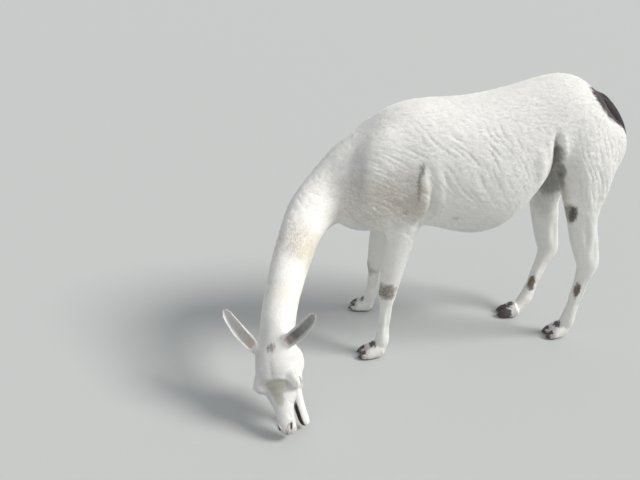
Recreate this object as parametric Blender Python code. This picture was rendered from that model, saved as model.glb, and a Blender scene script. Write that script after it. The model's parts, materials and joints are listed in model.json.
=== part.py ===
"""A grazing llama, life size, as a still museum model.

Frame: metres, +Z up, floor at z = 0. The trunk lies along X with the rump at +X; the llama's
left side is -Y. It grazes with its neck bent down and round to its left.

The flesh is modelled whole: swept tubes and rounded masses are fused with a voxel Remesh, eased
where they meet, thinned out, and then parted with thin cuts into the parts a person would name.
Eyes, ears, toenails and the tail are solids of their own, fitted against the flesh.
"""

import math

import bmesh
import bpy
import numpy as np
from mathutils import Matrix, Vector

# ---------------------------------------------------------------- driving sizes
WITHERS = 1.06  # height of the top of the shoulders
TRUNK_LENGTH = 1.17  # point of the shoulder to point of the buttock
TRUNK_FRONT = -0.53  # x of the point of the shoulder
GIRTH_WIDTH = 0.46  # the barrel at its widest
CUT = 0.0004  # width of a parting cut
FIT = 0.0004  # clearance round an eye, ear, nail or the tail
VOXEL = 0.006  # grid on which the masses are fused
FLESH_TRIANGLES = 4300  # what the thinned flesh keeps before it is parted

# ---------------------------------------------------------------- pose
# Each leg: its joints from the top down, then the way its toes point in plan.
FORE_LEFT = {
    "joints": ((-0.40, -0.125, 0.74), (-0.275, -0.140, 0.59), (-0.326, -0.165, 0.29), (-0.343, -0.183, 0.080),
               (-0.352, -0.184, 0.026)),
    "heading": (-1.0, 0.0),
}
FORE_RIGHT = {
    "joints": ((-0.40, 0.125, 0.74), (-0.290, 0.130, 0.59), (-0.332, 0.135, 0.28), (-0.345, 0.182, 0.080),
               (-0.347, 0.187, 0.026)),
    "heading": (-0.95, 0.31),
}
HIND_LEFT = {
    "joints": ((0.445, -0.088, 0.93), (0.448, -0.133, 0.64), (0.535, -0.110, 0.370), (0.502, -0.090, 0.080),
               (0.488, -0.087, 0.026)),
    "heading": (-1.0, -0.06),
}
HIND_RIGHT = {
    "joints": ((0.42, 0.088, 0.93), (0.402, 0.140, 0.60), (0.478, 0.172, 0.305), (0.382, 0.108, 0.085),
               (0.330, 0.086, 0.026)),
    "heading": (-0.98, 0.2),
}
POLL = Vector((-0.811, -0.523, 0.320))
LIP = Vector((-0.757, -0.685, 0.043))
FOREHEAD_FACES = Vector((-0.350, -0.830, 0.430))

# ---------------------------------------------------------------- forms
# Trunk: share of the length from the shoulder, then top, bottom and half width as shares of
# the withers' height, the withers' height and the barrel's width.
TRUNK_FORM = (
    (-0.03, 0.770, 0.600, 0.13),
    (0.02, 0.835, 0.530, 0.26),
    (0.08, 0.898, 0.502, 0.34),
    (0.15, 0.962, 0.494, 0.39),
    (0.23, 0.998, 0.500, 0.43),
    (0.31, 1.009, 0.514, 0.46),
    (0.40, 1.010, 0.490, 0.49),
    (0.49, 1.022, 0.478, 0.50),
    (0.58, 1.045, 0.510, 0.49),
    (0.66, 1.072, 0.600, 0.45),
    (0.73, 1.090, 0.735, 0.41),
    (0.80, 1.083, 0.770, 0.38),
    (0.87, 1.026, 0.780, 0.33),
    (0.93, 0.942, 0.785, 0.25),
    (0.98, 0.868, 0.790, 0.15),
)
BARREL_WIDEST = 0.47  # height of the barrel's widest line, as a share from belly to back
# Rounded masses on each side of the trunk: centre, radii and lean about Y.
TRUNK_BULGES = {
    "shoulder": ((-0.365, 0.120, 0.785), (0.135, 0.066, 0.210), 0.30),
    "upper_arm": ((-0.385, 0.135, 0.655), (0.125, 0.055, 0.085), 0.45),
    "triceps": ((-0.262, 0.140, 0.640), (0.070, 0.050, 0.085), 0.0),
    "neck_root": ((-0.455, 0.055, 0.765), (0.130, 0.085, 0.130), 0.0),
    "croup": ((0.37, 0.085, 1.00), (0.150, 0.085, 0.125), 0.0),
    "buttock": ((0.515, 0.080, 0.880), (0.105, 0.080, 0.130), 0.0),
}
BRISKET = ((-0.40, 0.0, 0.60), (0.15, 0.105, 0.085))
# Neck: centre, half width across, half depth to the nape, half depth to the throat.
NECK_FORM = (
    (-0.330, 0.000, 0.850, 0.120, 0.150, 0.200),
    (-0.455, -0.004, 0.775, 0.112, 0.140, 0.185),
    (-0.560, -0.040, 0.705, 0.100, 0.118, 0.140),
    (-0.658, -0.125, 0.640, 0.085, 0.092, 0.112),
    (-0.716, -0.243, 0.545, 0.072, 0.078, 0.090),
    (-0.765, -0.386, 0.432, 0.065, 0.066, 0.076),
    (-0.785, -0.463, 0.360, 0.064, 0.062, 0.074),
    (-0.799, -0.513, 0.285, 0.060, 0.056, 0.070),
)
NAPE_AT_WITHERS = Vector((-0.35, 0.0, 0.94))
NAPE_AT_POLL = Vector((-0.75, -0.55, 0.37))

# Legs: joint number plus share of the bone below it, then half sizes to the front, rear and side.
FORE_FORM = (
    (0.0, 0.095, 0.090, 0.055),
    (0.6, 0.080, 0.085, 0.056),
    (1.0, 0.066, 0.070, 0.054),
    (1.35, 0.056, 0.056, 0.047),
    (1.7, 0.049, 0.045, 0.040),
    (1.93, 0.041, 0.039, 0.036),
    (2.04, 0.040, 0.036, 0.037),
    (2.22, 0.029, 0.028, 0.029),
    (2.5, 0.025, 0.026, 0.024),
    (2.8, 0.026, 0.027, 0.025),
    (3.0, 0.030, 0.031, 0.031),
    (3.5, 0.027, 0.026, 0.030),
    (4.0, 0.026, 0.022, 0.030),
)
HIND_FORM = (
    (0.0, 0.130, 0.125, 0.075),
    (0.3, 0.125, 0.135, 0.092),
    (0.7, 0.095, 0.112, 0.086),
    (1.0, 0.066, 0.086, 0.070),
    (1.3, 0.062, 0.064, 0.054),
    (1.7, 0.055, 0.054, 0.042),
    (1.95, 0.046, 0.052, 0.036),
    (2.08, 0.040, 0.045, 0.034),
    (2.28, 0.032, 0.031, 0.028),
    (2.6, 0.029, 0.029, 0.025),
    (2.85, 0.028, 0.028, 0.026),
    (3.0, 0.031, 0.032, 0.032),
    (3.5, 0.028, 0.027, 0.030),
    (4.0, 0.027, 0.022, 0.030),
)
# Toes: share of the foot's length, height of the centre, half width, half height.
FORE_FOOT_LENGTH = 0.092
HIND_FOOT_LENGTH = 0.080
TOE_FORM = (
    (-0.12, 0.046, 0.020, 0.030),
    (0.10, 0.038, 0.022, 0.032),
    (0.35, 0.027, 0.022, 0.029),
    (0.60, 0.019, 0.020, 0.023),
    (0.80, 0.014, 0.0165, 0.018),
    (0.93, 0.011, 0.011, 0.014),
)
TOE_SPREAD = (0.012, 0.022)  # from the foot's middle to a toe's, at the heel and the tip
HEEL_PAD = ((0.018, 0.0, 0.020), (0.036, 0.034, 0.026))
# Toenail: share of the foot's length, height of the centre, half width, half height.
NAIL_FORM = (
    (0.660, 0.0290, 0.0125, 0.0110),
    (0.745, 0.0266, 0.0114, 0.0094),
    (0.830, 0.0217, 0.0094, 0.0077),
    (0.915, 0.0151, 0.0068, 0.0061),
    (1.000, 0.0070, 0.0038, 0.0044),
)

# Head: distance from the poll, then top, bottom and half width, all from the poll-to-lip line.
FACE_FORM = (
    (-0.040, -0.014, -0.100, 0.050),
    (-0.005, 0.012, -0.114, 0.066),
    (0.040, 0.034, -0.122, 0.078),
    (0.085, 0.046, -0.120, 0.084),
    (0.125, 0.049, -0.108, 0.083),
    (0.155, 0.044, -0.090, 0.076),
    (0.180, 0.035, -0.070, 0.062),
    (0.205, 0.030, -0.054, 0.049),
    (0.235, 0.029, -0.043, 0.038),
    (0.270, 0.027, -0.038, 0.034),
    (0.300, 0.022, -0.036, 0.034),
    (0.322, 0.013, -0.030, 0.029),
    (0.337, -0.002, -0.018, 0.014),
)
JAW_FORM = (
    (0.035, -0.040, -0.135, 0.050),
    (0.080, -0.045, -0.146, 0.052),
    (0.125, -0.050, -0.132, 0.045),
    (0.175, -0.048, -0.104, 0.034),
    (0.225, -0.040, -0.080, 0.026),
    (0.275, -0.032, -0.064, 0.023),
    (0.306, -0.026, -0.060, 0.022),
    (0.325, -0.029, -0.056, 0.018),
    (0.334, -0.035, -0.049, 0.009),
)
JAW_HINGE = (0.055, -0.045)
JAW_OPEN = math.radians(8.5)
JAW_SWING = math.radians(9)
EYE_RADIUS = 0.0195
EYE_PLACE = (0.152, 0.066, 0.000)
LID_OPENING = (0.0155, 0.022, 0.0095)  # half sizes of the almond between the lids
# Rounded masses on each side of the head: centre and radii.
HEAD_BULGES = {
    "brow": ((0.140, 0.062, 0.020), (0.036, 0.026, 0.018)),
    "lids": ((0.152, 0.066, 0.000), (0.030, 0.0245, 0.025)),
    "cheek": ((0.085, 0.050, -0.070), (0.060, 0.036, 0.055)),
    "nostril": ((0.298, 0.022, 0.000), (0.024, 0.015, 0.016)),
    "lip": ((0.315, 0.014, -0.020), (0.022, 0.016, 0.016)),
    "ear_root": ((0.014, 0.054, -0.008), (0.028, 0.024, 0.024)),
}

# Ears: share of the length, ring radius, half angle that the gristle wraps, wall.
EAR_LENGTH = 0.176
EAR_BEND = 0.007
EAR_CORNERS = 7
EAR_FORM = (
    (-0.14, 0.018, 140, 0.014),
    (0.02, 0.026, 128, 0.011),
    (0.18, 0.027, 112, 0.008),
    (0.38, 0.0265, 102, 0.006),
    (0.58, 0.025, 96, 0.005),
    (0.76, 0.023, 90, 0.005),
    (0.90, 0.0195, 82, 0.005),
    (0.98, 0.013, 72, 0.0045),
    (1.01, 0.007, 60, 0.004),
)
# Ear root, the way it points and the way it opens, in head coordinates (nose, left, forehead).
EAR_LEFT = {"root": (0.010, 0.060, 0.000), "points": (-0.44, 0.80, 0.36), "opens": (0.30, -0.10, 0.95)}
EAR_RIGHT = {"root": (0.006, -0.062, 0.000), "points": (-0.86, -0.50, 0.08), "opens": (0.25, 0.10, 0.95)}

# Tail: centre, half width, half thickness.
TAIL_FORM = (
    (0.446, -0.004, 1.085, 0.026, 0.020),
    (0.492, -0.006, 1.058, 0.034, 0.029),
    (0.540, -0.008, 1.013, 0.038, 0.032),
    (0.582, -0.010, 0.960, 0.038, 0.032),
    (0.612, -0.012, 0.912, 0.030, 0.025),
    (0.624, -0.012, 0.878, 0.012, 0.012),
)


# ---------------------------------------------------------------- tools
def rounded(rows, steps):
    """A Catmull-Rom curve through rows of numbers, with this many points to each gap."""
    rows = np.array(rows, float)
    padded = np.vstack([2 * rows[0] - rows[1], rows, 2 * rows[-1] - rows[-2]])
    out = []
    for i in range(1, len(padded) - 2):
        a, b, c, d = padded[i - 1 : i + 3]
        for k in range(steps):
            t = k / steps
            bend = 2 * a - 5 * b + 4 * c - d
            twist = 3 * b - a - 3 * c + d
            out.append(0.5 * (2 * b + (c - a) * t + bend * t**2 + twist * t**3))
    out.append(rows[-1])
    return np.array(out)


def mesh_object(name, points, faces):
    mesh = bpy.data.meshes.new(name)
    mesh.from_pydata([tuple(p) for p in points], [], faces)
    obj = bpy.data.objects.new(name, mesh)
    bpy.context.scene.collection.objects.link(obj)
    solid = bmesh.new()
    solid.from_mesh(mesh)
    bmesh.ops.recalc_face_normals(solid, faces=solid.faces)
    bmesh.ops.triangulate(solid, faces=solid.faces)
    solid.to_mesh(mesh)
    solid.free()
    return obj


def bridge(name, rings):
    """A closed surface through rings of equally many points, its two ends filled."""
    count = len(rings[0])
    points = [p for ring in rings for p in ring]
    faces = []
    for r in range(len(rings) - 1):
        for k in range(count):
            a, b = r * count + k, r * count + (k + 1) % count
            faces.append((a, b, b + count, a + count))
    faces.append(tuple(range(count)))
    faces.append(tuple(range(len(points) - count, len(points))))
    return mesh_object(name, points, faces)


def sweep(name, centres, ups, above, below, side, corners=24, square=2.0, facing=None):
    """A tube along centres. Each ring reaches above and below along its up, and side across.

    The rings lie across the tube, or all square to facing."""
    centres = [Vector(c) for c in centres]
    rings = []
    for i, centre in enumerate(centres):
        ahead = facing or centres[min(i + 1, len(centres) - 1)] - centres[max(i - 1, 0)]
        ahead = Vector(ahead).normalized()
        up = Vector(ups[i])
        up = (up - up.dot(ahead) * ahead).normalized()
        across = ahead.cross(up)
        ring = []
        for k in range(corners):
            turn = 2 * math.pi * k / corners
            c, s = math.cos(turn), math.sin(turn)
            reach = (abs(c) ** square + abs(s) ** square) ** (-1 / square)
            lift = above[i] if s > 0 else below[i]
            ring.append(centre + across * (side[i] * c * reach) + up * (lift * s * reach))
        rings.append(ring)
    return bridge(name, rings)


def ball(name, centre, radii, turn=None, detail=3):
    """An ellipsoid, turned about its middle."""
    solid = bmesh.new()
    bmesh.ops.create_icosphere(solid, subdivisions=detail, radius=1.0)
    mesh = bpy.data.meshes.new(name)
    solid.to_mesh(mesh)
    solid.free()
    obj = bpy.data.objects.new(name, mesh)
    bpy.context.scene.collection.objects.link(obj)
    turn = turn or Matrix.Identity(4)
    mesh.transform(Matrix.Translation(Vector(centre)) @ turn @ Matrix.Diagonal((*radii, 1.0)))
    return obj


def evaluated(obj):
    """obj's mesh with its modifiers, put in place of its own."""
    bpy.context.view_layer.update()
    graph = bpy.context.evaluated_depsgraph_get()
    mesh = bpy.data.meshes.new_from_object(obj.evaluated_get(graph))
    obj.modifiers.clear()
    obj.data = mesh


def remove(*objects):
    for obj in objects:
        bpy.data.objects.remove(obj)


def joined(name, objects):
    """One object that holds the meshes of them all, which go."""
    whole = bmesh.new()
    for obj in objects:
        whole.from_mesh(obj.data)
    mesh = bpy.data.meshes.new(name)
    whole.to_mesh(mesh)
    whole.free()
    remove(*objects)
    obj = bpy.data.objects.new(name, mesh)
    bpy.context.scene.collection.objects.link(obj)
    return obj


def fused(name, objects, voxel):
    """Overlapping closed shapes as one closed surface."""
    obj = joined(name, objects)
    remesh = obj.modifiers.new("Remesh", "REMESH")
    remesh.mode = "VOXEL"
    remesh.voxel_size = voxel
    evaluated(obj)
    return obj


def positions(mesh):
    co = np.empty(len(mesh.vertices) * 3)
    mesh.vertices.foreach_get("co", co)
    return co.reshape(-1, 3)


def relaxed(obj, strength, rounds):
    """Moves each vertex towards the mean of its neighbours, by its own strength, round after round."""
    mesh = obj.data
    co = positions(mesh)
    ends = np.empty(len(mesh.edges) * 2, np.int64)
    mesh.edges.foreach_get("vertices", ends)
    a, b = ends.reshape(-1, 2).T
    valence = np.bincount(np.concatenate([a, b]), minlength=len(co))[:, None]
    for _ in range(rounds):
        total = np.stack(
            [np.bincount(a, co[b, k], len(co)) + np.bincount(b, co[a, k], len(co)) for k in range(3)], axis=1
        )
        co += strength[:, None] * (total / valence - co)
    mesh.vertices.foreach_set("co", co.ravel())
    mesh.update()


def boolean(obj, other, operation):
    cut = obj.modifiers.new(operation, "BOOLEAN")
    cut.operation = operation
    cut.object = other
    cut.solver = "EXACT"
    evaluated(obj)


def grown(obj, by):
    """A copy of obj with its surface moved out."""
    copy = bpy.data.objects.new(obj.name + "_grown", obj.data.copy())
    bpy.context.scene.collection.objects.link(copy)
    mesh = copy.data
    normals = np.empty(len(mesh.vertices) * 3)
    mesh.vertices.foreach_get("normal", normals)
    mesh.vertices.foreach_set("co", (positions(mesh) + by * normals.reshape(-1, 3)).ravel())
    mesh.update()
    return copy


def coloured(obj, material):
    obj.data.materials.clear()
    obj.data.materials.append(material)


def material(name, colour, roughness):
    made = bpy.data.materials.new(name)
    made.use_nodes = True
    surface = made.node_tree.nodes["Principled BSDF"]
    surface.inputs["Base Color"].default_value = (*colour, 1.0)
    surface.inputs["Roughness"].default_value = roughness
    surface.inputs["Metallic"].default_value = 0.0
    return made


# ---------------------------------------------------------------- trunk and neck
def trunk_masses():
    rows = []
    for share, top, bottom, half in TRUNK_FORM:
        x = TRUNK_FRONT + share * TRUNK_LENGTH
        top, bottom = top * WITHERS, bottom * WITHERS
        middle = bottom + BARREL_WIDEST * (top - bottom)
        rows.append((x, middle, top - middle, middle - bottom, half * GIRTH_WIDTH))
    rows = rounded(rows, 4)
    centres = [(x, 0.0, z) for x, z, *_ in rows]
    ups = [(0, 0, 1)] * len(rows)
    barrel = sweep("barrel", centres, ups, rows[:, 2], rows[:, 3], rows[:, 4], 40, 2.15, facing=(1, 0, 0))
    masses = [barrel, ball("brisket", *BRISKET)]
    for side in (-1, 1):
        for name, ((x, y, z), radii, lean) in TRUNK_BULGES.items():
            masses.append(ball(name, (x, side * y, z), radii, Matrix.Rotation(lean, 4, "Y")))
    return masses


def neck_mass():
    rows = rounded(NECK_FORM, 4)
    last = len(rows) - 1
    ups = [NAPE_AT_WITHERS.lerp(NAPE_AT_POLL, i / last) for i in range(last + 1)]
    return sweep("neck_tube", rows[:, :3], ups, rows[:, 4], rows[:, 5], rows[:, 3], corners=32)


# ---------------------------------------------------------------- legs
def leg_centres(joints, places):
    """Points at these places along the chain of joints, rounded at the joints."""
    chain = [Vector(j) for j in joints]
    centres = []
    for place in places:
        bone = min(int(place), len(chain) - 2)
        centres.append(chain[bone].lerp(chain[bone + 1], place - bone))
    return centres


def leg_mass(name, leg, form):
    places = [row[0] for row in form]
    centres = leg_centres(leg["joints"], places)
    rows = rounded([(*c, *row[1:]) for c, row in zip(centres, form)], 4)
    heading = Vector((*leg["heading"], 0.0)).normalized()
    straight = Vector((-1.0, 0.0, 0.0))
    ups = [straight.lerp(heading, i / (len(rows) - 1)) for i in range(len(rows))]
    return sweep(name, rows[:, :3], ups, rows[:, 3], rows[:, 4], rows[:, 5], corners=20)


def foot_frame(leg):
    """Places of a foot: on the floor below its pastern, with x along the toes and y across."""
    pastern = Vector(leg["joints"][-1])
    ahead = Vector((*leg["heading"], 0.0)).normalized()
    across = Vector((0, 0, 1)).cross(ahead)
    frame = Matrix((ahead, across, (0, 0, 1))).transposed().to_4x4()
    frame.translation = (pastern.x, pastern.y, 0.0)
    return frame


def foot_length(leg):
    return FORE_FOOT_LENGTH if leg in (FORE_LEFT, FORE_RIGHT) else HIND_FOOT_LENGTH


def toe_masses(name, leg):
    frame = foot_frame(leg)
    masses = []
    for side in (-1, 1):
        rows = []
        for share, height, half, rise in TOE_FORM:
            spread = TOE_SPREAD[0] + (TOE_SPREAD[1] - TOE_SPREAD[0]) * min(max(share, 0.0) * 1.6, 1.0)
            rows.append((share * foot_length(leg), side * spread, height, half, rise))
        rows = rounded(rows, 3)
        ups = [(0.2, 0, 1)] * len(rows)
        toe = sweep(f"{name}_toe", rows[:, :3], ups, rows[:, 4], rows[:, 4], rows[:, 3], corners=10)
        toe.data.transform(frame)
        masses.append(toe)
    # The pad under the heel of the two toes.
    pad = ball(f"{name}_pad", *HEEL_PAD)
    pad.data.transform(frame)
    masses.append(pad)
    return masses


def nail(name, leg, side):
    """A toenail: a curved horn cone over the tip of one toe."""
    frame = foot_frame(leg)
    rows = []
    for share, height, half, rise in NAIL_FORM:
        rows.append((share * foot_length(leg), side * TOE_SPREAD[1], height, half, rise))
    rows = np.array(rows)
    ups = [(0.4, 0, 1)] * len(rows)
    obj = sweep(name, rows[:, :3], ups, rows[:, 4], rows[:, 4] * 0.8, rows[:, 3], corners=6)
    obj.data.transform(frame)
    return obj


# ---------------------------------------------------------------- head
def head_frame():
    """Head coordinates: x towards the lip, y to the llama's left, z out of the forehead."""
    nose = (LIP - POLL).normalized()
    brow = (FOREHEAD_FACES - FOREHEAD_FACES.dot(nose) * nose).normalized()
    left = brow.cross(nose)
    frame = Matrix((nose, left, brow)).transposed().to_4x4()
    frame.translation = POLL
    return frame


def face_sweep(name, form, corners=28, square=2.2):
    rows = rounded(form, 4)
    middle = (rows[:, 1] + rows[:, 2]) / 2
    half = (rows[:, 1] - rows[:, 2]) / 2
    centres = np.stack([rows[:, 0], np.zeros(len(rows)), middle], axis=1)
    ups = [(0, 0, 1)] * len(rows)
    return sweep(name, centres, ups, half, half, rows[:, 3], corners=corners, square=square)


def jaw_turn():
    """The lower jaw swings open about its hinge, and a little to the llama's left."""
    hinge = Matrix.Translation((JAW_HINGE[0], 0.0, JAW_HINGE[1]))
    return hinge @ Matrix.Rotation(JAW_SWING, 4, "Z") @ Matrix.Rotation(JAW_OPEN, 4, "Y") @ hinge.inverted()


def head_masses():
    face = face_sweep("face", FACE_FORM)
    jaw = face_sweep("jaw_tube", JAW_FORM, square=2.0)
    jaw.data.transform(jaw_turn())
    masses = [face, jaw]
    for side in (-1, 1):
        for name, ((x, y, z), radii) in HEAD_BULGES.items():
            masses.append(ball(name, (x, side * y, z), radii))
    frame = head_frame()
    for mass in masses:
        mass.data.transform(frame)
    return masses


def eye(name, side):
    x, y, z = EYE_PLACE
    obj = ball(name, (x, side * y, z), (EYE_RADIUS,) * 3, detail=2)
    obj.data.transform(head_frame())
    return obj


def lid_opening(side):
    """The almond between the lids, out in front of the eye."""
    x, y, z = EYE_PLACE
    obj = ball("lid_opening", (x, side * (y + EYE_RADIUS), z), LID_OPENING, detail=2)
    obj.data.transform(head_frame())
    return obj


def ear(name, shape, side):
    """A gristle shell: rings that wrap part of the way round, open to the front, curved inwards."""
    frame = head_frame()
    root = Vector(shape["root"])
    along = Vector(shape["points"]).normalized()
    opening = Vector(shape["opens"])
    opening = (opening - opening.dot(along) * along).normalized()
    across = along.cross(opening)
    inwards = across * (1 if across.y * side < 0 else -1)
    rings = []
    for share, radius, wrap, wall in EAR_FORM:
        bend = EAR_BEND * math.sin(math.pi * min(max(share, 0.0), 1.0))
        centre = root + along * (share * EAR_LENGTH) - inwards * bend
        outer, inner = [], []
        for k in range(EAR_CORNERS):
            turn = math.radians(wrap) * (2 * k / (EAR_CORNERS - 1) - 1)
            way = across * math.sin(turn) - opening * math.cos(turn)
            outer.append(frame @ (centre + way * radius))
            inner.append(frame @ (centre + way * (radius - wall)))
        rings.append(outer + inner[::-1])
    return bridge(name, rings)


# ---------------------------------------------------------------- tail
def tail():
    rows = rounded(TAIL_FORM, 2)
    ups = [(0.7, 0, 0.7)] * len(rows)
    return sweep("tail", rows[:, :3], ups, rows[:, 4], rows[:, 4], rows[:, 3], corners=10)


# ---------------------------------------------------------------- the whole flesh
LEGS = {
    "foreleg_left": (FORE_LEFT, FORE_FORM),
    "foreleg_right": (FORE_RIGHT, FORE_FORM),
    "hindleg_left": (HIND_LEFT, HIND_FORM),
    "hindleg_right": (HIND_RIGHT, HIND_FORM),
}


def near(co, centre, radius, soft):
    """1 within radius of centre, falling to 0 over soft."""
    away = np.linalg.norm(co - np.array(centre), axis=1)
    return np.clip((radius + soft - away) / soft, 0, 1)


def ease_joins(flesh):
    """Rounds the hollows where masses meet: widely on the trunk, hardly at all on head and feet."""
    co = positions(flesh.data)
    trunk = np.clip((co[:, 2] - 0.50) / 0.12, 0, 1) * (1 - near(co, POLL, 0.30, 0.12))
    relaxed(flesh, 0.62 * trunk, 110)
    co = positions(flesh.data)
    relaxed(flesh, 0.40 * np.ones(len(co)), 7)


def box(name, centre, turn, size):
    """A closed box with this centre and size, turned by turn."""
    solid = bmesh.new()
    place = Matrix.Translation(Vector(centre)) @ turn @ Matrix.Diagonal((*size, 1.0))
    bmesh.ops.create_cube(solid, size=1.0, matrix=place)
    mesh = bpy.data.meshes.new(name)
    solid.to_mesh(mesh)
    solid.free()
    obj = bpy.data.objects.new(name, mesh)
    bpy.context.scene.collection.objects.link(obj)
    return obj


def flatten_soles(flesh):
    """Cuts the soles off flat at the floor."""
    below = box("below_floor", (0, 0, -0.5), Matrix.Identity(4), (4, 4, 1))
    boolean(flesh, below, "DIFFERENCE")
    remove(below)


def thinned(obj, triangles):
    """Collapses edges until about this many triangles are left."""
    count = sum(len(p.vertices) - 2 for p in obj.data.polygons)
    collapse = obj.modifiers.new("Decimate", "DECIMATE")
    collapse.ratio = triangles / count
    collapse.use_collapse_triangulate = True
    evaluated(obj)


def slab(centre, normal, width, depth=None):
    """A thin plate square to normal, to part the flesh with."""
    turn = Vector(normal).to_track_quat("Z", "Y").to_matrix().to_4x4()
    return box("slab", centre, turn, (width, depth or width, CUT))


def cuts():
    """The plates between the flesh's parts."""
    plates = [
        slab((-0.505, -0.010, 0.735), (-1.0, -0.10, -0.38), 0.56),
        slab((-0.716, -0.243, 0.545), (-0.107, -0.264, -0.215), 0.30),
    ]
    frame = head_frame()
    plates.append(slab(frame @ Vector((-0.020, 0, -0.065)), frame.to_3x3() @ Vector((1.0, 0.0, 0.35)), 0.26))
    jaw = box("slab", (0.222, 0.0, -0.075), Matrix.Identity(4), (CUT, 0.09, 0.085))
    jaw.data.transform(frame @ jaw_turn())
    plates.append(jaw)
    for leg in (FORE_LEFT, FORE_RIGHT):
        elbow, knee, fetlock = (Vector(j) for j in leg["joints"][1:4])
        top = elbow.lerp(knee, 0.30)
        plates.append(slab(top, (0, 0, 1), 0.22, 0.20))
        plates.append(slab(knee, knee - fetlock, 0.13))
        plates.append(slab(knee.lerp(fetlock, 0.84), knee - fetlock, 0.10))
    for leg, side in ((HIND_LEFT, -1), (HIND_RIGHT, 1)):
        hip, stifle, hock, fetlock = (Vector(j) for j in leg["joints"][:4])
        top = Vector((hip.lerp(stifle, 0.66).x + 0.03, side * 0.153, 0.742))
        plates.append(slab(top, (-0.20, 0, 1), 0.36, 0.30))
        plates.append(slab(hock, hock - fetlock + 0.5 * (stifle - hock), 0.17))
        plates.append(slab(hock.lerp(fetlock, 0.86), hock - fetlock, 0.10))
    return plates


def anchors():
    """A point well inside each part of the flesh."""
    frame = head_frame()
    inside = {
        "trunk": (0.0, 0.0, 0.80),
        "neck_lower": (-0.640, -0.100, 0.650),
        "neck_upper": (-0.760, -0.360, 0.440),
        "head": tuple(frame @ Vector((0.10, 0.0, -0.03))),
        "lower_jaw": tuple(frame @ jaw_turn() @ Vector((0.27, 0.0, -0.048))),
    }
    for name, (leg, _) in LEGS.items():
        top, upper, lower, fetlock, pastern = (Vector(j) for j in leg["joints"])
        inside[f"{name}_upper"] = tuple(upper.lerp(lower, 0.7))
        inside[f"{name}_cannon"] = tuple(lower.lerp(fetlock, 0.5))
        inside[f"{name}_foot"] = tuple(fetlock.lerp(pastern, 0.5))
    return inside


def misfit(anchor, lowest, highest):
    """How badly a piece with this box fits an anchor: outside the box counts most, then off its middle."""
    point = np.array(anchor)
    outside = np.maximum(np.maximum(lowest - point, point - highest), 0).sum()
    return outside * 100 + np.linalg.norm((lowest + highest) / 2 - point)


def loose_parts(flesh):
    """The flesh's parts as objects of their own, each named for the anchor that it holds."""
    whole = bmesh.new()
    whole.from_mesh(flesh.data)
    whole.verts.ensure_lookup_table()
    seen = set()
    pieces = []
    for start in whole.verts:
        if start.index in seen:
            continue
        stack, piece = [start], []
        seen.add(start.index)
        while stack:
            vert = stack.pop()
            piece.append(vert)
            for edge in vert.link_edges:
                other = edge.other_vert(vert)
                if other.index not in seen:
                    seen.add(other.index)
                    stack.append(other)
        pieces.append(piece)
    names = anchors()
    parts = []
    for piece in sorted(pieces, key=len, reverse=True)[: len(names)]:
        keep = {vert.index for vert in piece}
        alone = whole.copy()
        alone.verts.ensure_lookup_table()
        bmesh.ops.delete(alone, geom=[v for v in alone.verts if v.index not in keep], context="VERTS")
        mesh = bpy.data.meshes.new("part")
        alone.to_mesh(mesh)
        alone.free()
        co = positions(mesh)
        lowest, highest = co.min(axis=0), co.max(axis=0)
        name = min(names, key=lambda candidate: misfit(names[candidate], lowest, highest))
        del names[name]
        mesh.name = name
        part = bpy.data.objects.new(name, mesh)
        bpy.context.scene.collection.objects.link(part)
        parts.append(part)
    whole.free()
    remove(flesh)
    return parts


def centre_on_floor():
    """Moves the whole so that its box stands on z = 0 with its middle over the origin."""
    points = np.vstack([positions(obj.data) for obj in bpy.data.objects])
    low, high = points.min(axis=0), points.max(axis=0)
    shift = Matrix.Translation((-(low[0] + high[0]) / 2, -(low[1] + high[1]) / 2, 0.0))
    for obj in bpy.data.objects:
        obj.data.transform(shift)
    print("moved by", [round(v, 5) for v in shift.translation])


def build():
    for obj in list(bpy.data.objects):
        bpy.data.objects.remove(obj)
    masses = trunk_masses() + [neck_mass()] + head_masses()
    for name, (leg, form) in LEGS.items():
        masses.append(leg_mass(name, leg, form))
        masses += toe_masses(name, leg)
    flesh = fused("flesh", masses, VOXEL)
    ease_joins(flesh)
    thinned(flesh, FLESH_TRIANGLES)
    flatten_soles(flesh)

    fitted = {
        "ear_left": (ear("ear_left", EAR_LEFT, 1), "ear_hide"),
        "ear_right": (ear("ear_right", EAR_RIGHT, -1), "ear_hide"),
        "eye_left": (eye("eye_left", 1), "eye"),
        "eye_right": (eye("eye_right", -1), "eye"),
        "tail": (tail(), "tail_hair"),
    }
    for name, (leg, _) in LEGS.items():
        for side, word in ((-1, "right"), (1, "left")):
            key = f"{name}_nail_{word}"
            fitted[key] = (nail(key, leg, side), "horn")
    for obj, _ in fitted.values():
        hollow = grown(obj, FIT)
        boolean(flesh, hollow, "DIFFERENCE")
        remove(hollow)
    for side in (-1, 1):
        slit = lid_opening(side)
        boolean(flesh, slit, "DIFFERENCE")
        remove(slit)
    for plate in cuts():
        boolean(flesh, plate, "DIFFERENCE")
        remove(plate)
    parts = loose_parts(flesh)
    kinds = {
        "fleece": material("fleece", (0.80, 0.78, 0.74), 0.9),
        "ear_hide": material("ear_hide", (0.74, 0.66, 0.62), 0.85),
        "eye": material("eye", (0.03, 0.02, 0.015), 0.1),
        "tail_hair": material("tail_hair", (0.07, 0.045, 0.05), 0.85),
        "horn": material("horn", (0.05, 0.045, 0.045), 0.5),
    }
    for part in parts:
        coloured(part, kinds["fleece"])
    for obj, kind in fitted.values():
        coloured(obj, kinds[kind])
    centre_on_floor()


build()
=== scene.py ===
"""The looks of a grazing llama, life size: skin, coat, eyes, nails, tail, light and camera.

Everything is modelled in the llama's own frame (metres, +Z up, rump towards +X, its left side at
-Y), from the same named forms as its solids but on a finer grid, and shifted onto them at the end.
One skin runs over trunk, neck, head, ears and legs. The coat is joined mesh tufts rooted in it.
"""

import json
import math

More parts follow.
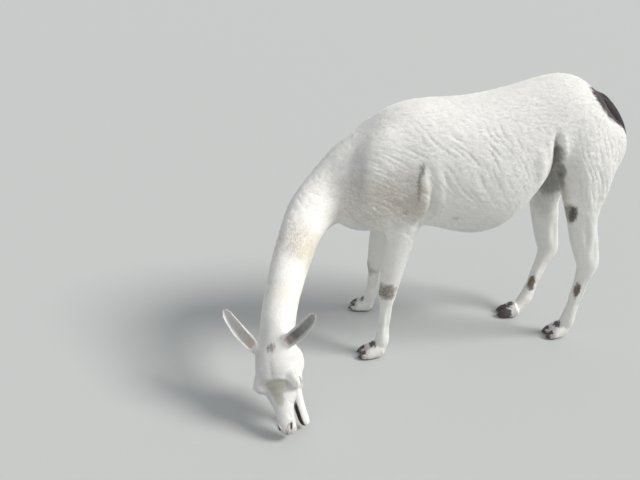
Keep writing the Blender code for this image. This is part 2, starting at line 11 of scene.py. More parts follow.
import bmesh
import bpy
import numpy as np
from mathutils import Matrix, Vector, noise

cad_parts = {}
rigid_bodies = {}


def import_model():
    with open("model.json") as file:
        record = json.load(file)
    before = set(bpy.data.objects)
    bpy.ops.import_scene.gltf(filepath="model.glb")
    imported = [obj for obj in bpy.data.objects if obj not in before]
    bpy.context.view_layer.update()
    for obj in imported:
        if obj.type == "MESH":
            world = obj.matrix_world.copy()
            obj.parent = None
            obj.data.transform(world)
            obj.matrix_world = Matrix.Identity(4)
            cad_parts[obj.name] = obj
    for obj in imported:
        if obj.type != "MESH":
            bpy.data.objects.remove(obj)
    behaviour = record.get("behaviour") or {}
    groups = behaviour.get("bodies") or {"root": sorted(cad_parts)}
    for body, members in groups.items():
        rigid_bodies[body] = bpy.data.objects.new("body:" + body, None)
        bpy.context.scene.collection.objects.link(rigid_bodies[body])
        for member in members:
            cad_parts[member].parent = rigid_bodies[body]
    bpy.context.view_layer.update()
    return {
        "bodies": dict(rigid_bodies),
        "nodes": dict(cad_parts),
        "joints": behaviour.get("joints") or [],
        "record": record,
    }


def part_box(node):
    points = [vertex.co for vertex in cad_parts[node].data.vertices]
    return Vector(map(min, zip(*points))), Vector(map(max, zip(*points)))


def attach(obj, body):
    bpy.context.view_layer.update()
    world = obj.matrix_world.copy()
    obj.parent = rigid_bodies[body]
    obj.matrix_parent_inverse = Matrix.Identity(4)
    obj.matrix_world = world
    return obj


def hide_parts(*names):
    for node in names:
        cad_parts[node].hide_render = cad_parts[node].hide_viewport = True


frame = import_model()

SEED = 7
rng = np.random.default_rng(SEED)

# ---- driving sizes
WITHERS = 1.06  # height of the top of the shoulders
TRUNK_LENGTH = 1.17  # point of the shoulder to point of the buttock
TRUNK_FRONT = -0.53  # x of the point of the shoulder
GIRTH_WIDTH = 0.46  # the barrel at its widest
BODY_GRID = 0.006  # grid on which the masses are fused
HEAD_GRID = 0.003
FOOT_GRID = 0.0036

# ---- pose
POLL = Vector((-0.811, -0.523, 0.32))
LIP = Vector((-0.757, -0.685, 0.043))
FOREHEAD_FACES = Vector((-0.35, -0.83, 0.43))

# ---- forms
# Trunk: share of the length from the shoulder, then top, bottom and half width as shares of
# the withers' height, the withers' height and the barrel's width.
TRUNK_FORM = (
    (-0.03, 0.77, 0.6, 0.13),
    (0.02, 0.835, 0.53, 0.26),
    (0.08, 0.898, 0.502, 0.34),
    (0.15, 0.962, 0.494, 0.39),
    (0.23, 0.998, 0.5, 0.43),
    (0.31, 1.009, 0.514, 0.46),
    (0.4, 1.01, 0.49, 0.49),
    (0.49, 1.022, 0.478, 0.5),
    (0.58, 1.045, 0.51, 0.49),
    (0.66, 1.072, 0.6, 0.45),
    (0.73, 1.09, 0.735, 0.41),
    (0.8, 1.083, 0.77, 0.38),
    (0.87, 1.026, 0.78, 0.33),
    (0.93, 0.942, 0.785, 0.25),
    (0.98, 0.868, 0.79, 0.15),
)
BARREL_WIDEST = 0.47  # height of the barrel's widest line, as a share from belly to back
# Rounded masses on each side of the trunk: centre, radii and lean about Y.
TRUNK_BULGES = {
    "shoulder": ((-0.365, 0.12, 0.785), (0.135, 0.066, 0.21), 0.3),
    "upper_arm": ((-0.385, 0.135, 0.655), (0.125, 0.055, 0.085), 0.45),
    "triceps": ((-0.262, 0.14, 0.64), (0.07, 0.05, 0.085), 0.0),
    "neck_root": ((-0.455, 0.055, 0.765), (0.13, 0.085, 0.13), 0.0),
    "croup": ((0.37, 0.085, 1.0), (0.15, 0.085, 0.125), 0.0),
    "buttock": ((0.515, 0.08, 0.88), (0.105, 0.08, 0.13), 0.0),
}
BRISKET = ((-0.4, 0.0, 0.6), (0.15, 0.105, 0.085))
# Neck: centre, half width across, half depth to the nape, half depth to the throat.
NECK_FORM = (
    (-0.33, 0.0, 0.85, 0.12, 0.15, 0.2),
    (-0.455, -0.004, 0.775, 0.112, 0.14, 0.185),
    (-0.56, -0.04, 0.705, 0.1, 0.118, 0.14),
    (-0.658, -0.125, 0.64, 0.085, 0.092, 0.112),
    (-0.716, -0.243, 0.545, 0.072, 0.078, 0.09),
    (-0.765, -0.386, 0.432, 0.065, 0.066, 0.076),
    (-0.785, -0.463, 0.36, 0.064, 0.062, 0.074),
    (-0.799, -0.513, 0.285, 0.06, 0.056, 0.07),
)
NAPE_AT_WITHERS = Vector((-0.35, 0.0, 0.94))
NAPE_AT_POLL = Vector((-0.75, -0.55, 0.37))

# Legs: joint number plus share of the bone below it, then half sizes to the front, rear and side.
FORE_FORM = (
    (0.0, 0.095, 0.09, 0.055),
    (0.6, 0.08, 0.085, 0.056),
    (1.0, 0.066, 0.07, 0.054),
    (1.35, 0.056, 0.056, 0.047),
    (1.7, 0.049, 0.045, 0.04),
    (1.93, 0.041, 0.039, 0.036),
    (2.04, 0.04, 0.036, 0.037),
    (2.22, 0.029, 0.028, 0.029),
    (2.5, 0.025, 0.026, 0.024),
    (2.8, 0.026, 0.027, 0.025),
    (3.0, 0.03, 0.031, 0.031),
    (3.5, 0.027, 0.026, 0.03),
    (4.0, 0.026, 0.022, 0.03),
)
HIND_FORM = (
    (0.0, 0.13, 0.125, 0.075),
    (0.3, 0.125, 0.135, 0.092),
    (0.7, 0.095, 0.112, 0.086),
    (1.0, 0.066, 0.086, 0.07),
    (1.3, 0.062, 0.064, 0.054),
    (1.7, 0.055, 0.054, 0.042),
    (1.95, 0.046, 0.052, 0.036),
    (2.08, 0.04, 0.045, 0.034),
    (2.28, 0.032, 0.031, 0.028),
    (2.6, 0.029, 0.029, 0.025),
    (2.85, 0.028, 0.028, 0.026),
    (3.0, 0.031, 0.032, 0.032),
    (3.5, 0.028, 0.027, 0.03),
    (4.0, 0.027, 0.022, 0.03),
)
# Toes: share of the foot's length, height of the centre, half width, half height.
TOE_FORM = (
    (-0.12, 0.046, 0.02, 0.03),
    (0.1, 0.038, 0.022, 0.032),
    (0.35, 0.027, 0.022, 0.029),
    (0.6, 0.019, 0.02, 0.023),
    (0.8, 0.014, 0.0165, 0.018),
    (0.93, 0.011, 0.011, 0.014),
)
TOE_SPREAD = (0.012, 0.022)  # from the foot's middle to a toe's, at the heel and the tip
HEEL_PAD = ((0.018, 0.0, 0.02), (0.036, 0.034, 0.026))
# Toenail: share of the foot's length, height of the centre, half width, half height.
NAIL_FORM = (
    (0.66, 0.029, 0.0125, 0.011),
    (0.745, 0.0266, 0.0114, 0.0094),
    (0.83, 0.0217, 0.0094, 0.0077),
    (0.915, 0.0151, 0.0068, 0.0061),
    (1.0, 0.007, 0.0038, 0.0044),
)

# Each leg: its joints from the top down, the way its toes point in plan, its form, its foot's length.
LEGS = {
    "foreleg_left": {
        "joints": ((-0.4, -0.125, 0.74), (-0.275, -0.14, 0.59), (-0.326, -0.165, 0.29),
                   (-0.343, -0.183, 0.08), (-0.352, -0.184, 0.026)),
        "heading": (-1.0, 0.0), "form": FORE_FORM, "foot": 0.092,
    },
    "foreleg_right": {
        "joints": ((-0.4, 0.125, 0.74), (-0.29, 0.13, 0.59), (-0.332, 0.135, 0.28),
                   (-0.345, 0.182, 0.08), (-0.347, 0.187, 0.026)),
        "heading": (-0.95, 0.31), "form": FORE_FORM, "foot": 0.092,
    },
    "hindleg_left": {
        "joints": ((0.445, -0.088, 0.93), (0.448, -0.133, 0.64), (0.535, -0.11, 0.37),
                   (0.502, -0.09, 0.08), (0.488, -0.087, 0.026)),
        "heading": (-1.0, -0.06), "form": HIND_FORM, "foot": 0.08,
    },
    "hindleg_right": {
        "joints": ((0.42, 0.088, 0.93), (0.402, 0.14, 0.6), (0.478, 0.172, 0.305),
                   (0.382, 0.108, 0.085), (0.33, 0.086, 0.026)),
        "heading": (-0.98, 0.2), "form": HIND_FORM, "foot": 0.08,
    },
}

# Head: distance from the poll, then top, bottom and half width, all from the poll-to-lip line.
FACE_FORM = (
    (-0.04, -0.014, -0.1, 0.05),
    (-0.005, 0.012, -0.114, 0.066),
    (0.04, 0.034, -0.122, 0.078),
    (0.085, 0.046, -0.12, 0.084),
    (0.125, 0.049, -0.108, 0.083),
    (0.155, 0.044, -0.09, 0.076),
    (0.18, 0.035, -0.07, 0.062),
    (0.205, 0.03, -0.054, 0.049),
    (0.235, 0.029, -0.043, 0.038),
    (0.27, 0.027, -0.038, 0.034),
    (0.3, 0.022, -0.036, 0.034),
    (0.322, 0.013, -0.03, 0.029),
    (0.337, -0.002, -0.018, 0.014),
)
JAW_FORM = (
    (0.035, -0.04, -0.135, 0.05),
    (0.08, -0.045, -0.146, 0.052),
    (0.125, -0.05, -0.132, 0.045),
    (0.175, -0.048, -0.104, 0.034),
    (0.225, -0.04, -0.08, 0.026),
    (0.275, -0.032, -0.064, 0.023),
    (0.306, -0.026, -0.06, 0.022),
    (0.325, -0.029, -0.056, 0.018),
    (0.334, -0.035, -0.049, 0.009),
)
JAW_HINGE = (0.055, -0.045)
JAW_OPEN = math.radians(8.5)
JAW_SWING = math.radians(9)
EYE_RADIUS = 0.0195
EYE_PLACE = (0.152, 0.066, 0.0)
# Rounded masses on each side of the head: centre and radii.
HEAD_BULGES = {
    "brow": ((0.14, 0.062, 0.02), (0.036, 0.026, 0.018)),
    "lids": ((0.152, 0.066, 0.0), (0.03, 0.0245, 0.025)),
    "cheek": ((0.085, 0.05, -0.07), (0.06, 0.036, 0.055)),
    "nostril": ((0.298, 0.022, 0.0), (0.024, 0.015, 0.016)),
    "lip": ((0.315, 0.014, -0.02), (0.022, 0.016, 0.016)),
    "ear_root": ((0.014, 0.054, -0.008), (0.028, 0.024, 0.024)),
}

# Ears: share of the length, ring radius, half angle that the gristle wraps, wall.
EAR_LENGTH = 0.176
EAR_BEND = 0.007
EAR_CORNERS = 19
EAR_FORM = (
    (-0.14, 0.018, 140, 0.014),
    (0.02, 0.026, 128, 0.011),
    (0.18, 0.027, 112, 0.008),
    (0.38, 0.0265, 102, 0.006),
    (0.58, 0.025, 96, 0.005),
    (0.76, 0.023, 90, 0.005),
    (0.9, 0.0195, 82, 0.005),
    (0.98, 0.013, 72, 0.0045),
    (1.01, 0.007, 60, 0.004),
)
# Ear root, the way it points and the way it opens, in head coordinates (nose, left, forehead).
EARS = (
    ({"root": (0.01, 0.06, 0.0), "points": (-0.44, 0.8, 0.36), "opens": (0.3, -0.1, 0.95)}, 1),
    ({"root": (0.006, -0.062, 0.0), "points": (-0.86, -0.5, 0.08), "opens": (0.25, 0.1, 0.95)}, -1),
)

# Tail: centre, half width, half thickness.
TAIL_FORM = (
    (0.438, -0.024, 1.092, 0.028, 0.02),
    (0.485, -0.03, 1.063, 0.038, 0.03),
    (0.532, -0.032, 1.017, 0.042, 0.034),
    (0.575, -0.03, 0.963, 0.04, 0.033),
    (0.608, -0.024, 0.913, 0.03, 0.026),
    (0.624, -0.018, 0.878, 0.012, 0.012),
)

# ---- camera and light
CAMERA_PLACE = Vector((-0.773, -2.557, 1.72))
CAMERA_DOWN = math.radians(26)
CAMERA_HEADING = math.radians(-4)
CAMERA_LENS = 38.0
SENSOR = 36.0
KEY_FROM = Vector((0.72, -0.2, 0.66))  # the way to the key light: from behind the rump, 41 degrees up
KEY_STRENGTH = 2.85
KEY_SOFTNESS = math.radians(22)
KEY_COLOUR = (1.0, 0.985, 0.955)
ROOM_LIGHT = 0.58
ROOM_COLOUR = (0.94, 0.97, 1.0, 1)
FLOOR_COLOUR = (0.5, 0.51, 0.5, 1)


# ---- tools for numbers and meshes
def held(values):
    """Held between 0 and 1."""
    return np.clip(values, 0, 1)


def ramp(values, start, soft):
    """0 up to start, rising to 1 over soft. With a negative soft: 1 falling to 0 at start."""
    return held((values - start) / soft)


def hump(values, middle, reach):
    """1 at the middle, fading on both sides."""
    return np.exp(-(((values - middle) / reach) ** 2))


def between(a, b, share):
    return a + (b - a) * share


def sided(point, side):
    """A point given for one side of the body, on that side (1) or the other (-1)."""
    x, y, z = point
    return x, side * y, z


def off_squared(co, centre, radii):
    """The square of each point's distance from centre, each way measured in its own radius."""
    return (((co - np.array(centre)) / radii) ** 2).sum(axis=1)


def near(co, centre, radius, soft):
    """1 within radius of centre, falling to 0 over soft."""
    return ramp(np.linalg.norm(co - np.array(centre), axis=1), radius + soft, -soft)


def to_lines(co, a, b):
    """Where along each line from a to b it is nearest to each point, as a share, and how far away."""
    ahead = b - a
    from_a = co[:, None] - a
    share = held((from_a * ahead).sum(axis=2) / (ahead**2).sum(axis=1))[..., None]
    return share, np.linalg.norm(from_a - share * ahead, axis=2)


def rounded(rows, steps):
    """A Catmull-Rom curve through rows of numbers, with this many points to each gap."""
    rows = np.array(rows, float)
    padded = np.vstack([2 * rows[0] - rows[1], rows, 2 * rows[-1] - rows[-2]])
    out = []
    for i in range(1, len(padded) - 2):
        a, b, c, d = padded[i - 1 : i + 3]
        for k in range(steps):
            t = k / steps
            bend = 2 * a - 5 * b + 4 * c - d
            twist = 3 * b - a - 3 * c + d
            out.append(0.5 * (2 * b + (c - a) * t + bend * t**2 + twist * t**3))
    out.append(rows[-1])
    return np.array(out)


def added(name, mesh):
    obj = bpy.data.objects.new(name, mesh)
    bpy.context.scene.collection.objects.link(obj)
    return obj


def made(name, solid):
    """An object from a bmesh, which goes."""
    mesh = bpy.data.meshes.new(name)
    solid.to_mesh(mesh)
    solid.free()
    return added(name, mesh)


def opened(*meshes):
    """All these meshes as one bmesh."""
    whole = bmesh.new()
    for mesh in meshes:
        whole.from_mesh(mesh)
    return whole


def bridge(name, rings):
    """A closed surface through rings of equally many points, its two ends filled."""
    count = len(rings[0])
    points = [tuple(p) for ring in rings for p in ring]
    faces = []
    for r in range(len(rings) - 1):
        for k in range(count):
            a, b = r * count + k, r * count + (k + 1) % count
            faces.append((a, b, b + count, a + count))
    faces.append(tuple(range(count)))
    faces.append(tuple(range(len(points) - count, len(points))))
    mesh = bpy.data.meshes.new(name)
    mesh.from_pydata(points, [], faces)
    solid = opened(mesh)
    bmesh.ops.recalc_face_normals(solid, faces=solid.faces)
    bpy.data.meshes.remove(mesh)
    return made(name, solid)


def sweep(name, centres, ups, above, below, side, corners, square=2.0, facing=None):
    """A tube along centres. Each ring reaches above and below along its up, and side across.

    ups is one way for all rings or a list. The rings lie across the tube, or all square to facing."""
    centres = [Vector(c) for c in centres]
    if isinstance(ups, tuple):
        ups = [ups] * len(centres)
    rings = []
    for i, centre in enumerate(centres):
        ahead = facing or centres[min(i + 1, len(centres) - 1)] - centres[max(i - 1, 0)]
        ahead = Vector(ahead).normalized()
        up = Vector(ups[i])
        up = (up - up.dot(ahead) * ahead).normalized()
        across = ahead.cross(up)
        ring = []
        for k in range(corners):
            turn = 2 * math.pi * k / corners
            c, s = math.cos(turn), math.sin(turn)
            reach = (abs(c) ** square + abs(s) ** square) ** (-1 / square)
            lift = above[i] if s > 0 else below[i]
            ring.append(centre + across * (side[i] * c * reach) + up * (lift * s * reach))
        rings.append(ring)
    return bridge(name, rings)


def ball(name, centre, radii, lean=0.0):
    """An ellipsoid, leaning about Y."""
    solid = bmesh.new()
    bmesh.ops.create_icosphere(solid, subdivisions=3, radius=1.0)
    turn = Matrix.Rotation(lean, 4, "Y")
    solid.transform(Matrix.Translation(Vector(centre)) @ turn @ Matrix.Diagonal((*radii, 1.0)))
    return made(name, solid)


def paired(bulges):
    """Each of these balls on both sides."""
    masses = []
    for side in (-1, 1):
        for name, (centre, *shape) in bulges.items():
            masses.append(ball(name, sided(centre, side), *shape))
    return masses


def remove(*objects):
    for obj in objects:
        bpy.data.objects.remove(obj)


def fused(name, objects, voxel):
    """Overlapping closed shapes, which go, as one closed surface."""
    whole = opened(*(obj.data for obj in objects))
    remove(*objects)
    obj = made(name, whole)
    remesh = obj.modifiers.new("Remesh", "REMESH")
    remesh.mode = "VOXEL"
    remesh.voxel_size = voxel
    bpy.context.view_layer.update()
    graph = bpy.context.evaluated_depsgraph_get()
    mesh = bpy.data.meshes.new_from_object(obj.evaluated_get(graph))
    obj.modifiers.clear()
    obj.data = mesh
    return obj


def gathered(items, key, size, kind=float):
    """A row of size numbers from each of a mesh's vertices, edges, loops or triangles."""
    out = np.empty(len(items) * size, kind)
    items.foreach_get(key, out)
    return out.reshape(-1, size)


def positions(mesh):
    return gathered(mesh.vertices, "co", 3)


def place(mesh, co):
    mesh.vertices.foreach_set("co", co.ravel())
    mesh.update()


def normals(mesh):
    return gathered(mesh.vertices, "normal", 3)


def raised(mesh, heights):
    """Moves each vertex out along its normal by its own height."""
    place(mesh, positions(mesh) + normals(mesh) * heights[:, None])


def relaxed(obj, strength, rounds):
    """Moves each vertex towards the mean of its neighbours, by its own strength, round after round."""
    mesh = obj.data
    co = positions(mesh)
    a, b = gathered(mesh.edges, "vertices", 2, np.int64).T
    count = len(co)
    valence = np.bincount(np.concatenate([a, b]), minlength=count)[:, None]
    strength = np.broadcast_to(np.asarray(strength, float), count)[:, None]
    for _ in range(rounds):
        sums = [np.bincount(a, co[b, k], count) + np.bincount(b, co[a, k], count) for k in range(3)]
        co += strength * (np.stack(sums, axis=1) / valence - co)
    place(mesh, co)


# ---- masses of trunk and neck
def trunk_masses():
    rows = []
    for share, top, bottom, half in TRUNK_FORM:
        x = TRUNK_FRONT + share * TRUNK_LENGTH
        top, bottom = top * WITHERS, bottom * WITHERS
        middle = bottom + BARREL_WIDEST * (top - bottom)
        rows.append((x, middle, top - middle, middle - bottom, half * GIRTH_WIDTH))
    rows = rounded(rows, 4)
    centres = [(x, 0.0, z) for x, z, *_ in rows]
    reaches = rows[:, 2], rows[:, 3], rows[:, 4]
    barrel = sweep("barrel", centres, (0, 0, 1), *reaches, 40, square=2.15, facing=(1, 0, 0))
    return [barrel, ball("brisket", *BRISKET)] + paired(TRUNK_BULGES)


def neck_mass():
    rows = rounded(NECK_FORM, 4)
    last = len(rows) - 1
    ups = [NAPE_AT_WITHERS.lerp(NAPE_AT_POLL, i / last) for i in range(last + 1)]
    return sweep("neck_tube", rows[:, :3], ups, rows[:, 4], rows[:, 5], rows[:, 3], corners=32)


# ---- masses of the legs
def leg_centres(joints, places):
    """Points at these places along the chain of joints."""
    chain = [Vector(j) for j in joints]
    centres = []
    for share in places:
        bone = min(int(share), len(chain) - 2)
        centres.append(chain[bone].lerp(chain[bone + 1], share - bone))
    return centres


def leg_masses(name, leg):
    """A leg down to its pastern, and its foot."""
    form = leg["form"]
    centres = leg_centres(leg["joints"], [row[0] for row in form])
    rows = rounded([(*c, *row[1:]) for c, row in zip(centres, form)], 4)
    heading = Vector((*leg["heading"], 0.0)).normalized()
    straight = Vector((-1.0, 0.0, 0.0))
    ups = [straight.lerp(heading, i / (len(rows) - 1)) for i in range(len(rows))]
    tube = sweep(name, rows[:, :3], ups, rows[:, 3], rows[:, 4], rows[:, 5], corners=20)
    return [tube] + toe_masses(name, leg)


def axes_at(x, y, z, middle):
    """Coordinates with these three ways as axes and their zero at middle."""
    frame = Matrix((x, y, z)).transposed().to_4x4()
    frame.translation = middle
    return frame


def shank(leg):
    """Knee or hock, and fetlock."""
    return Vector(leg["joints"][2]), Vector(leg["joints"][3])


def foot_frame(leg):
    """Places of a foot: on the floor below its pastern, with x along the toes and y across."""
    pastern = Vector(leg["joints"][-1])
    ahead = Vector((*leg["heading"], 0.0)).normalized()
    return axes_at(ahead, Vector((0, 0, 1)).cross(ahead), (0, 0, 1), (pastern.x, pastern.y, 0.0))


def toe_masses(name, leg):
    masses = []
    for side in (-1, 1):
        rows = []
        for share, height, half, rise in TOE_FORM:
            spread = between(*TOE_SPREAD, held(1.6 * share))
            rows.append((share * leg["foot"], side * spread, height, half, rise))
        rows = rounded(rows, 3)
        reaches = rows[:, 4], rows[:, 4], rows[:, 3]
        masses.append(sweep(f"{name}_toe", rows[:, :3], (0.2, 0, 1), *reaches, corners=16))
    masses.append(ball(f"{name}_pad", *HEEL_PAD))
    for mass in masses:
        mass.data.transform(foot_frame(leg))
    return masses


# ---- masses of the head
def head_frame():
    """Head coordinates: x towards the lip, y to the llama's left, z out of the forehead."""
    nose = (LIP - POLL).normalized()
    brow = (FOREHEAD_FACES - FOREHEAD_FACES.dot(nose) * nose).normalized()
    return axes_at(nose, brow.cross(nose), brow, POLL)


HEAD = head_frame()
HEAD_TURN = HEAD.to_3x3()
SHIFT = sum(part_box("eye_left"), Vector()) / 2 - HEAD @ Vector(EYE_PLACE)


def within(frame, co):
    """Points of the body in the coordinates of frame."""
    return (co - np.array(frame.translation)) @ np.array(frame.to_3x3())


def in_head(co):
    return within(HEAD, co)


def from_head(co):
    return co @ np.array(HEAD_TURN).T + np.array(HEAD.translation)


def on_head(*point):
    return HEAD @ Vector(point)


def jaw_turn():
    """The lower jaw swings open about its hinge, and a little to the llama's left."""
    hinge = Matrix.Translation((JAW_HINGE[0], 0.0, JAW_HINGE[1]))
    return hinge @ Matrix.Rotation(JAW_SWING, 4, "Z") @ Matrix.Rotation(JAW_OPEN, 4, "Y") @ hinge.inverted()


def face_sweep(name, form, square):
    rows = rounded(form, 6)
    middle = (rows[:, 1] + rows[:, 2]) / 2
    half = (rows[:, 1] - rows[:, 2]) / 2
    centres = np.stack([rows[:, 0], np.zeros(len(rows)), middle], axis=1)
    return sweep(name, centres, (0, 0, 1), half, half, rows[:, 3], corners=40, square=square)


def head_masses():
    jaw = face_sweep("jaw_tube", JAW_FORM, 2.0)
    jaw.data.transform(jaw_turn())
    masses = [face_sweep("face", FACE_FORM, 2.2), jaw] + paired(HEAD_BULGES)
    for mass in masses:
        mass.data.transform(HEAD)
    return masses


def ear_axes(shape, side):
    """An ear's root, the way it points, the way it opens, and the way towards the other ear."""
    along = Vector(shape["points"]).normalized()
    opening = Vector(shape["opens"])
    opening = (opening - opening.dot(along) * along).normalized()
    across = along.cross(opening)
    inwards = across * (1 if across.y * side < 0 else -1)
    return Vector(shape["root"]), along, opening, across, inwards


def ear_mass(name, shape, side):
    """A gristle shell: rings that wrap part of the way round, open to the front, curved inwards."""
    root, along, opening, across, inwards = ear_axes(shape, side)
    rings = []
    for share, radius, wrap, wall in rounded(EAR_FORM, 4):
        bend = EAR_BEND * math.sin(math.pi * held(share))
        centre = root + along * (share * EAR_LENGTH) - inwards * bend
        outer, inner = [], []
        for k in range(EAR_CORNERS):
            turn = math.radians(wrap) * (2 * k / (EAR_CORNERS - 1) - 1)
            way = across * math.sin(turn) - opening * math.cos(turn)
            outer.append(HEAD @ (centre + way * radius))
            inner.append(HEAD @ (centre + way * (radius - wall)))
        rings.append(outer + inner[::-1])
    return bridge(name, rings)


# ---- the coat's guides
HAIR_TRUNK = 0.013
HAIR_NECK = 0.012
HAIR_FACE = (0.0075, 0.003)  # at the poll and at the lip
HAIR_EAR = 0.0065
HAIR_THIGH = 0.011
HAIR_CANNON = 0.0065
HAIR_TOE = 0.005


class Guides:
    """Lines through the body. Each stretch has a radius, a way for the hair to lie and a length of hair."""

    def __init__(self):
        self.stretches = []

    def add(self, points, radii, ways, lengths):
        rows = []
        for point, radius, way, length in zip(points, radii, ways, lengths):
            rows.append(np.array([*point, radius, *Vector(way).normalized(), length]))
        self.stretches += zip(rows[:-1], rows[1:])

    def read(self, points):
        """The way the hair lies at each point, and its length, from the stretches nearest to it."""
        a, b = (np.array(ends, np.float32) for ends in zip(*self.stretches))
        points = points.astype(np.float32)
        out = []
        for block in np.array_split(points, len(points) // 20000 + 1):
            share, away = to_lines(block, a[:, :3], b[:, :3])
            row = between(a[:, 3:], b[:, 3:], share)
            weight = (row[..., 0] / away) ** 8
            weight /= weight.sum(axis=1, keepdims=True)
            out.append((weight[..., None] * row[..., 1:]).sum(axis=1))
        out = np.vstack(out)
        return out[:, :3], out[:, 3]


def coat_guides():
    guides = Guides()
    # Over the trunk the hair runs back and down, and straight down over the chest and buttocks.
    points, radii, ways = [], [], []
    for share, top, bottom, half in TRUNK_FORM:
        points.append((TRUNK_FRONT + share * TRUNK_LENGTH, 0, (top + bottom) / 2 * WITHERS))
        radii.append((half * GIRTH_WIDTH + (top - bottom) / 2 * WITHERS) / 2)
        down = 0.45 + 0.8 * max(share - 0.75, 0) / 0.25
        ways.append((0.35 + math.sin(math.pi * held(share)), 0, -down))
    guides.add(points, radii, ways, [HAIR_TRUNK] * len(points))
    # Down the neck it runs from the head to the shoulders.
    points = [Vector(row[:3]) for row in NECK_FORM]
    last = len(points) - 1
    ways = [points[max(i - 1, 0)] - points[min(i + 1, last)] for i in range(last + 1)]
    lengths = [HAIR_NECK] * (last - 1) + [HAIR_NECK * 0.85, HAIR_NECK * 0.65]
    guides.add(points, [sum(row[3:]) / 3 for row in NECK_FORM], ways, lengths)
    # On the face it runs from the nose up to the poll.
    back = HEAD_TURN @ Vector((-1, 0, 0))
    for form, turn in ((FACE_FORM, Matrix.Identity(4)), (JAW_FORM, jaw_turn())):
        points = [HEAD @ turn @ Vector((x, 0, (top + bottom) / 2)) for x, top, bottom, _ in form]
        radii = [((top - bottom) / 2 + half) / 2 for _, top, bottom, half in form]
        lengths = [between(*HAIR_FACE, held(x / 0.33)) for x, *_ in form]
        guides.add(points, radii, [back] * len(form), lengths)
    for shape, side in EARS:
        root, along, *_ = ear_axes(shape, side)
        points = [HEAD @ (root + along * (t * EAR_LENGTH)) for t in (0.15, 0.6, 1.1)]
        guides.add(points, [0.026] * 3, [HEAD_TURN @ along] * 3, [HAIR_EAR] * 3)
    # Down the legs it runs from joint to joint, and forward over the toes.
    for leg in LEGS.values():
        joints = [Vector(joint) for joint in leg["joints"]]
        form = leg["form"][1:]
        shares = [row[0] for row in form]
        bones = [min(int(share), 3) for share in shares]
        ways = [joints[bone + 1] - joints[bone] for bone in bones]
        lengths = [between(HAIR_THIGH, HAIR_CANNON, ramp(share, 0.9, 1.2)) for share in shares]
        guides.add(leg_centres(joints, shares), [sum(row[1:]) / 3 for row in form], ways, lengths)
        foot = foot_frame(leg)
        ahead = foot.to_3x3() @ Vector((1, 0, -0.5))
        points = [foot @ Vector((share * leg["foot"], 0, height)) for share, height, *_ in TOE_FORM]
        radii = [half + 0.012 for _, _, half, _ in TOE_FORM]
        guides.add(points, radii, [ahead] * len(points), [HAIR_TOE] * len(points))
    return guides


GUIDES = coat_guides()


# ---- skin
COAT_DEPTH = 0.26  # how far the skin lies inside the solids, as a share of the hair's length
SPLICE_REACH = 0.16  # how far from its middle a splice's plane cuts
ON_PLANE = 2e-6  # a vertex this close to a splice's plane lies on it
RIM = 1e-4  # and this close it belongs to the open rim there
SMOOTHING = 0.4  # takes the grid's steps out of a fused surface
TRUNK_SMOOTHING = 0.62  # blends the trunk's masses, for this many rounds
TRUNK_ROUNDS = 110
LID_ROUNDS = 55
FINER_EYE = (0.036, 0.027)  # radii round an eye within which the grid is halved, once and again
FINER_LIPS = ((0.308, 0, 0), 0.042)
FOOT_FROM = 0.72  # the finer foot begins this far from knee to fetlock


def cut_at(solid, at, ahead):
    """Edges along the plane through at, in what solid has within SPLICE_REACH of it."""
    faces = [f for f in solid.faces if (f.calc_center_median() - at).length < SPLICE_REACH]
    edges = {e for f in faces for e in f.edges}
    verts = {v for f in faces for v in f.verts}
    parts = faces + list(edges) + list(verts)
    bmesh.ops.bisect_plane(solid, geom=parts, plane_co=at, plane_no=ahead, dist=1e-6)


def spliced(coarse, splices):
    """coarse with finer parts in place of its own ends, joined by strips: one closed surface.

    A splice is the finer part, a point of the plane between, the way across it towards the finer part,
    and the middle and radius of the ball in which coarse is cut away beyond the plane."""
    whole = opened(coarse.data)
    for _, at, ahead, middle, reach in splices:
        cut_at(whole, at, ahead)
        inside = [v for v in whole.verts if (v.co - middle).length < reach]
        beyond = [v for v in inside if (v.co - at).dot(ahead) > ON_PLANE]
        bmesh.ops.delete(whole, geom=beyond, context="VERTS")
    for fine, at, ahead, *_ in splices:
        solid = opened(fine.data)
        cut_at(solid, at, ahead)
        behind = [v for v in solid.verts if (v.co - at).dot(ahead) < -ON_PLANE]
        bmesh.ops.delete(solid, geom=behind, context="VERTS")
        mesh = bpy.data.meshes.new("fine")
        solid.to_mesh(mesh)
        solid.free()
        whole.from_mesh(mesh)
        bpy.data.meshes.remove(mesh)
        rim = [e for e in whole.edges if e.is_boundary and (e.verts[0].co - at).length < SPLICE_REACH]
        rim = [e for e in rim if abs((e.verts[0].co - at).dot(ahead)) < RIM]
        bmesh.ops.bridge_loops(whole, edges=rim)
        remove(fine)
    bmesh.ops.triangulate(whole, faces=[f for f in whole.faces if len(f.verts) > 4])
    bmesh.ops.recalc_face_normals(whole, faces=whole.faces)
    remove(coarse)
    skin = made("skin", whole)
    co = positions(skin.data)
    seams = np.zeros(len(co))
    for _, at, ahead, *_ in splices:
        seam = hump((co - at) @ np.array(ahead), 0, 0.022) * near(co, at, 0.14, 0.02)
        seams = np.maximum(seams, seam)
    relaxed(skin, 0.5 * seams, 36)
    return skin


def finer(obj, balls):
    """Halves the grid of obj within each ball, given as its middle and radius."""
    solid = opened(obj.data)
    inside = [f for f in solid.faces if any((f.calc_center_median() - c).length < r for c, r in balls)]
    edges = list({e for f in inside for e in f.edges})
    bmesh.ops.subdivide_edges(solid, edges=edges, cuts=1, use_grid_fill=True)
    solid.to_mesh(obj.data)
    solid.free()


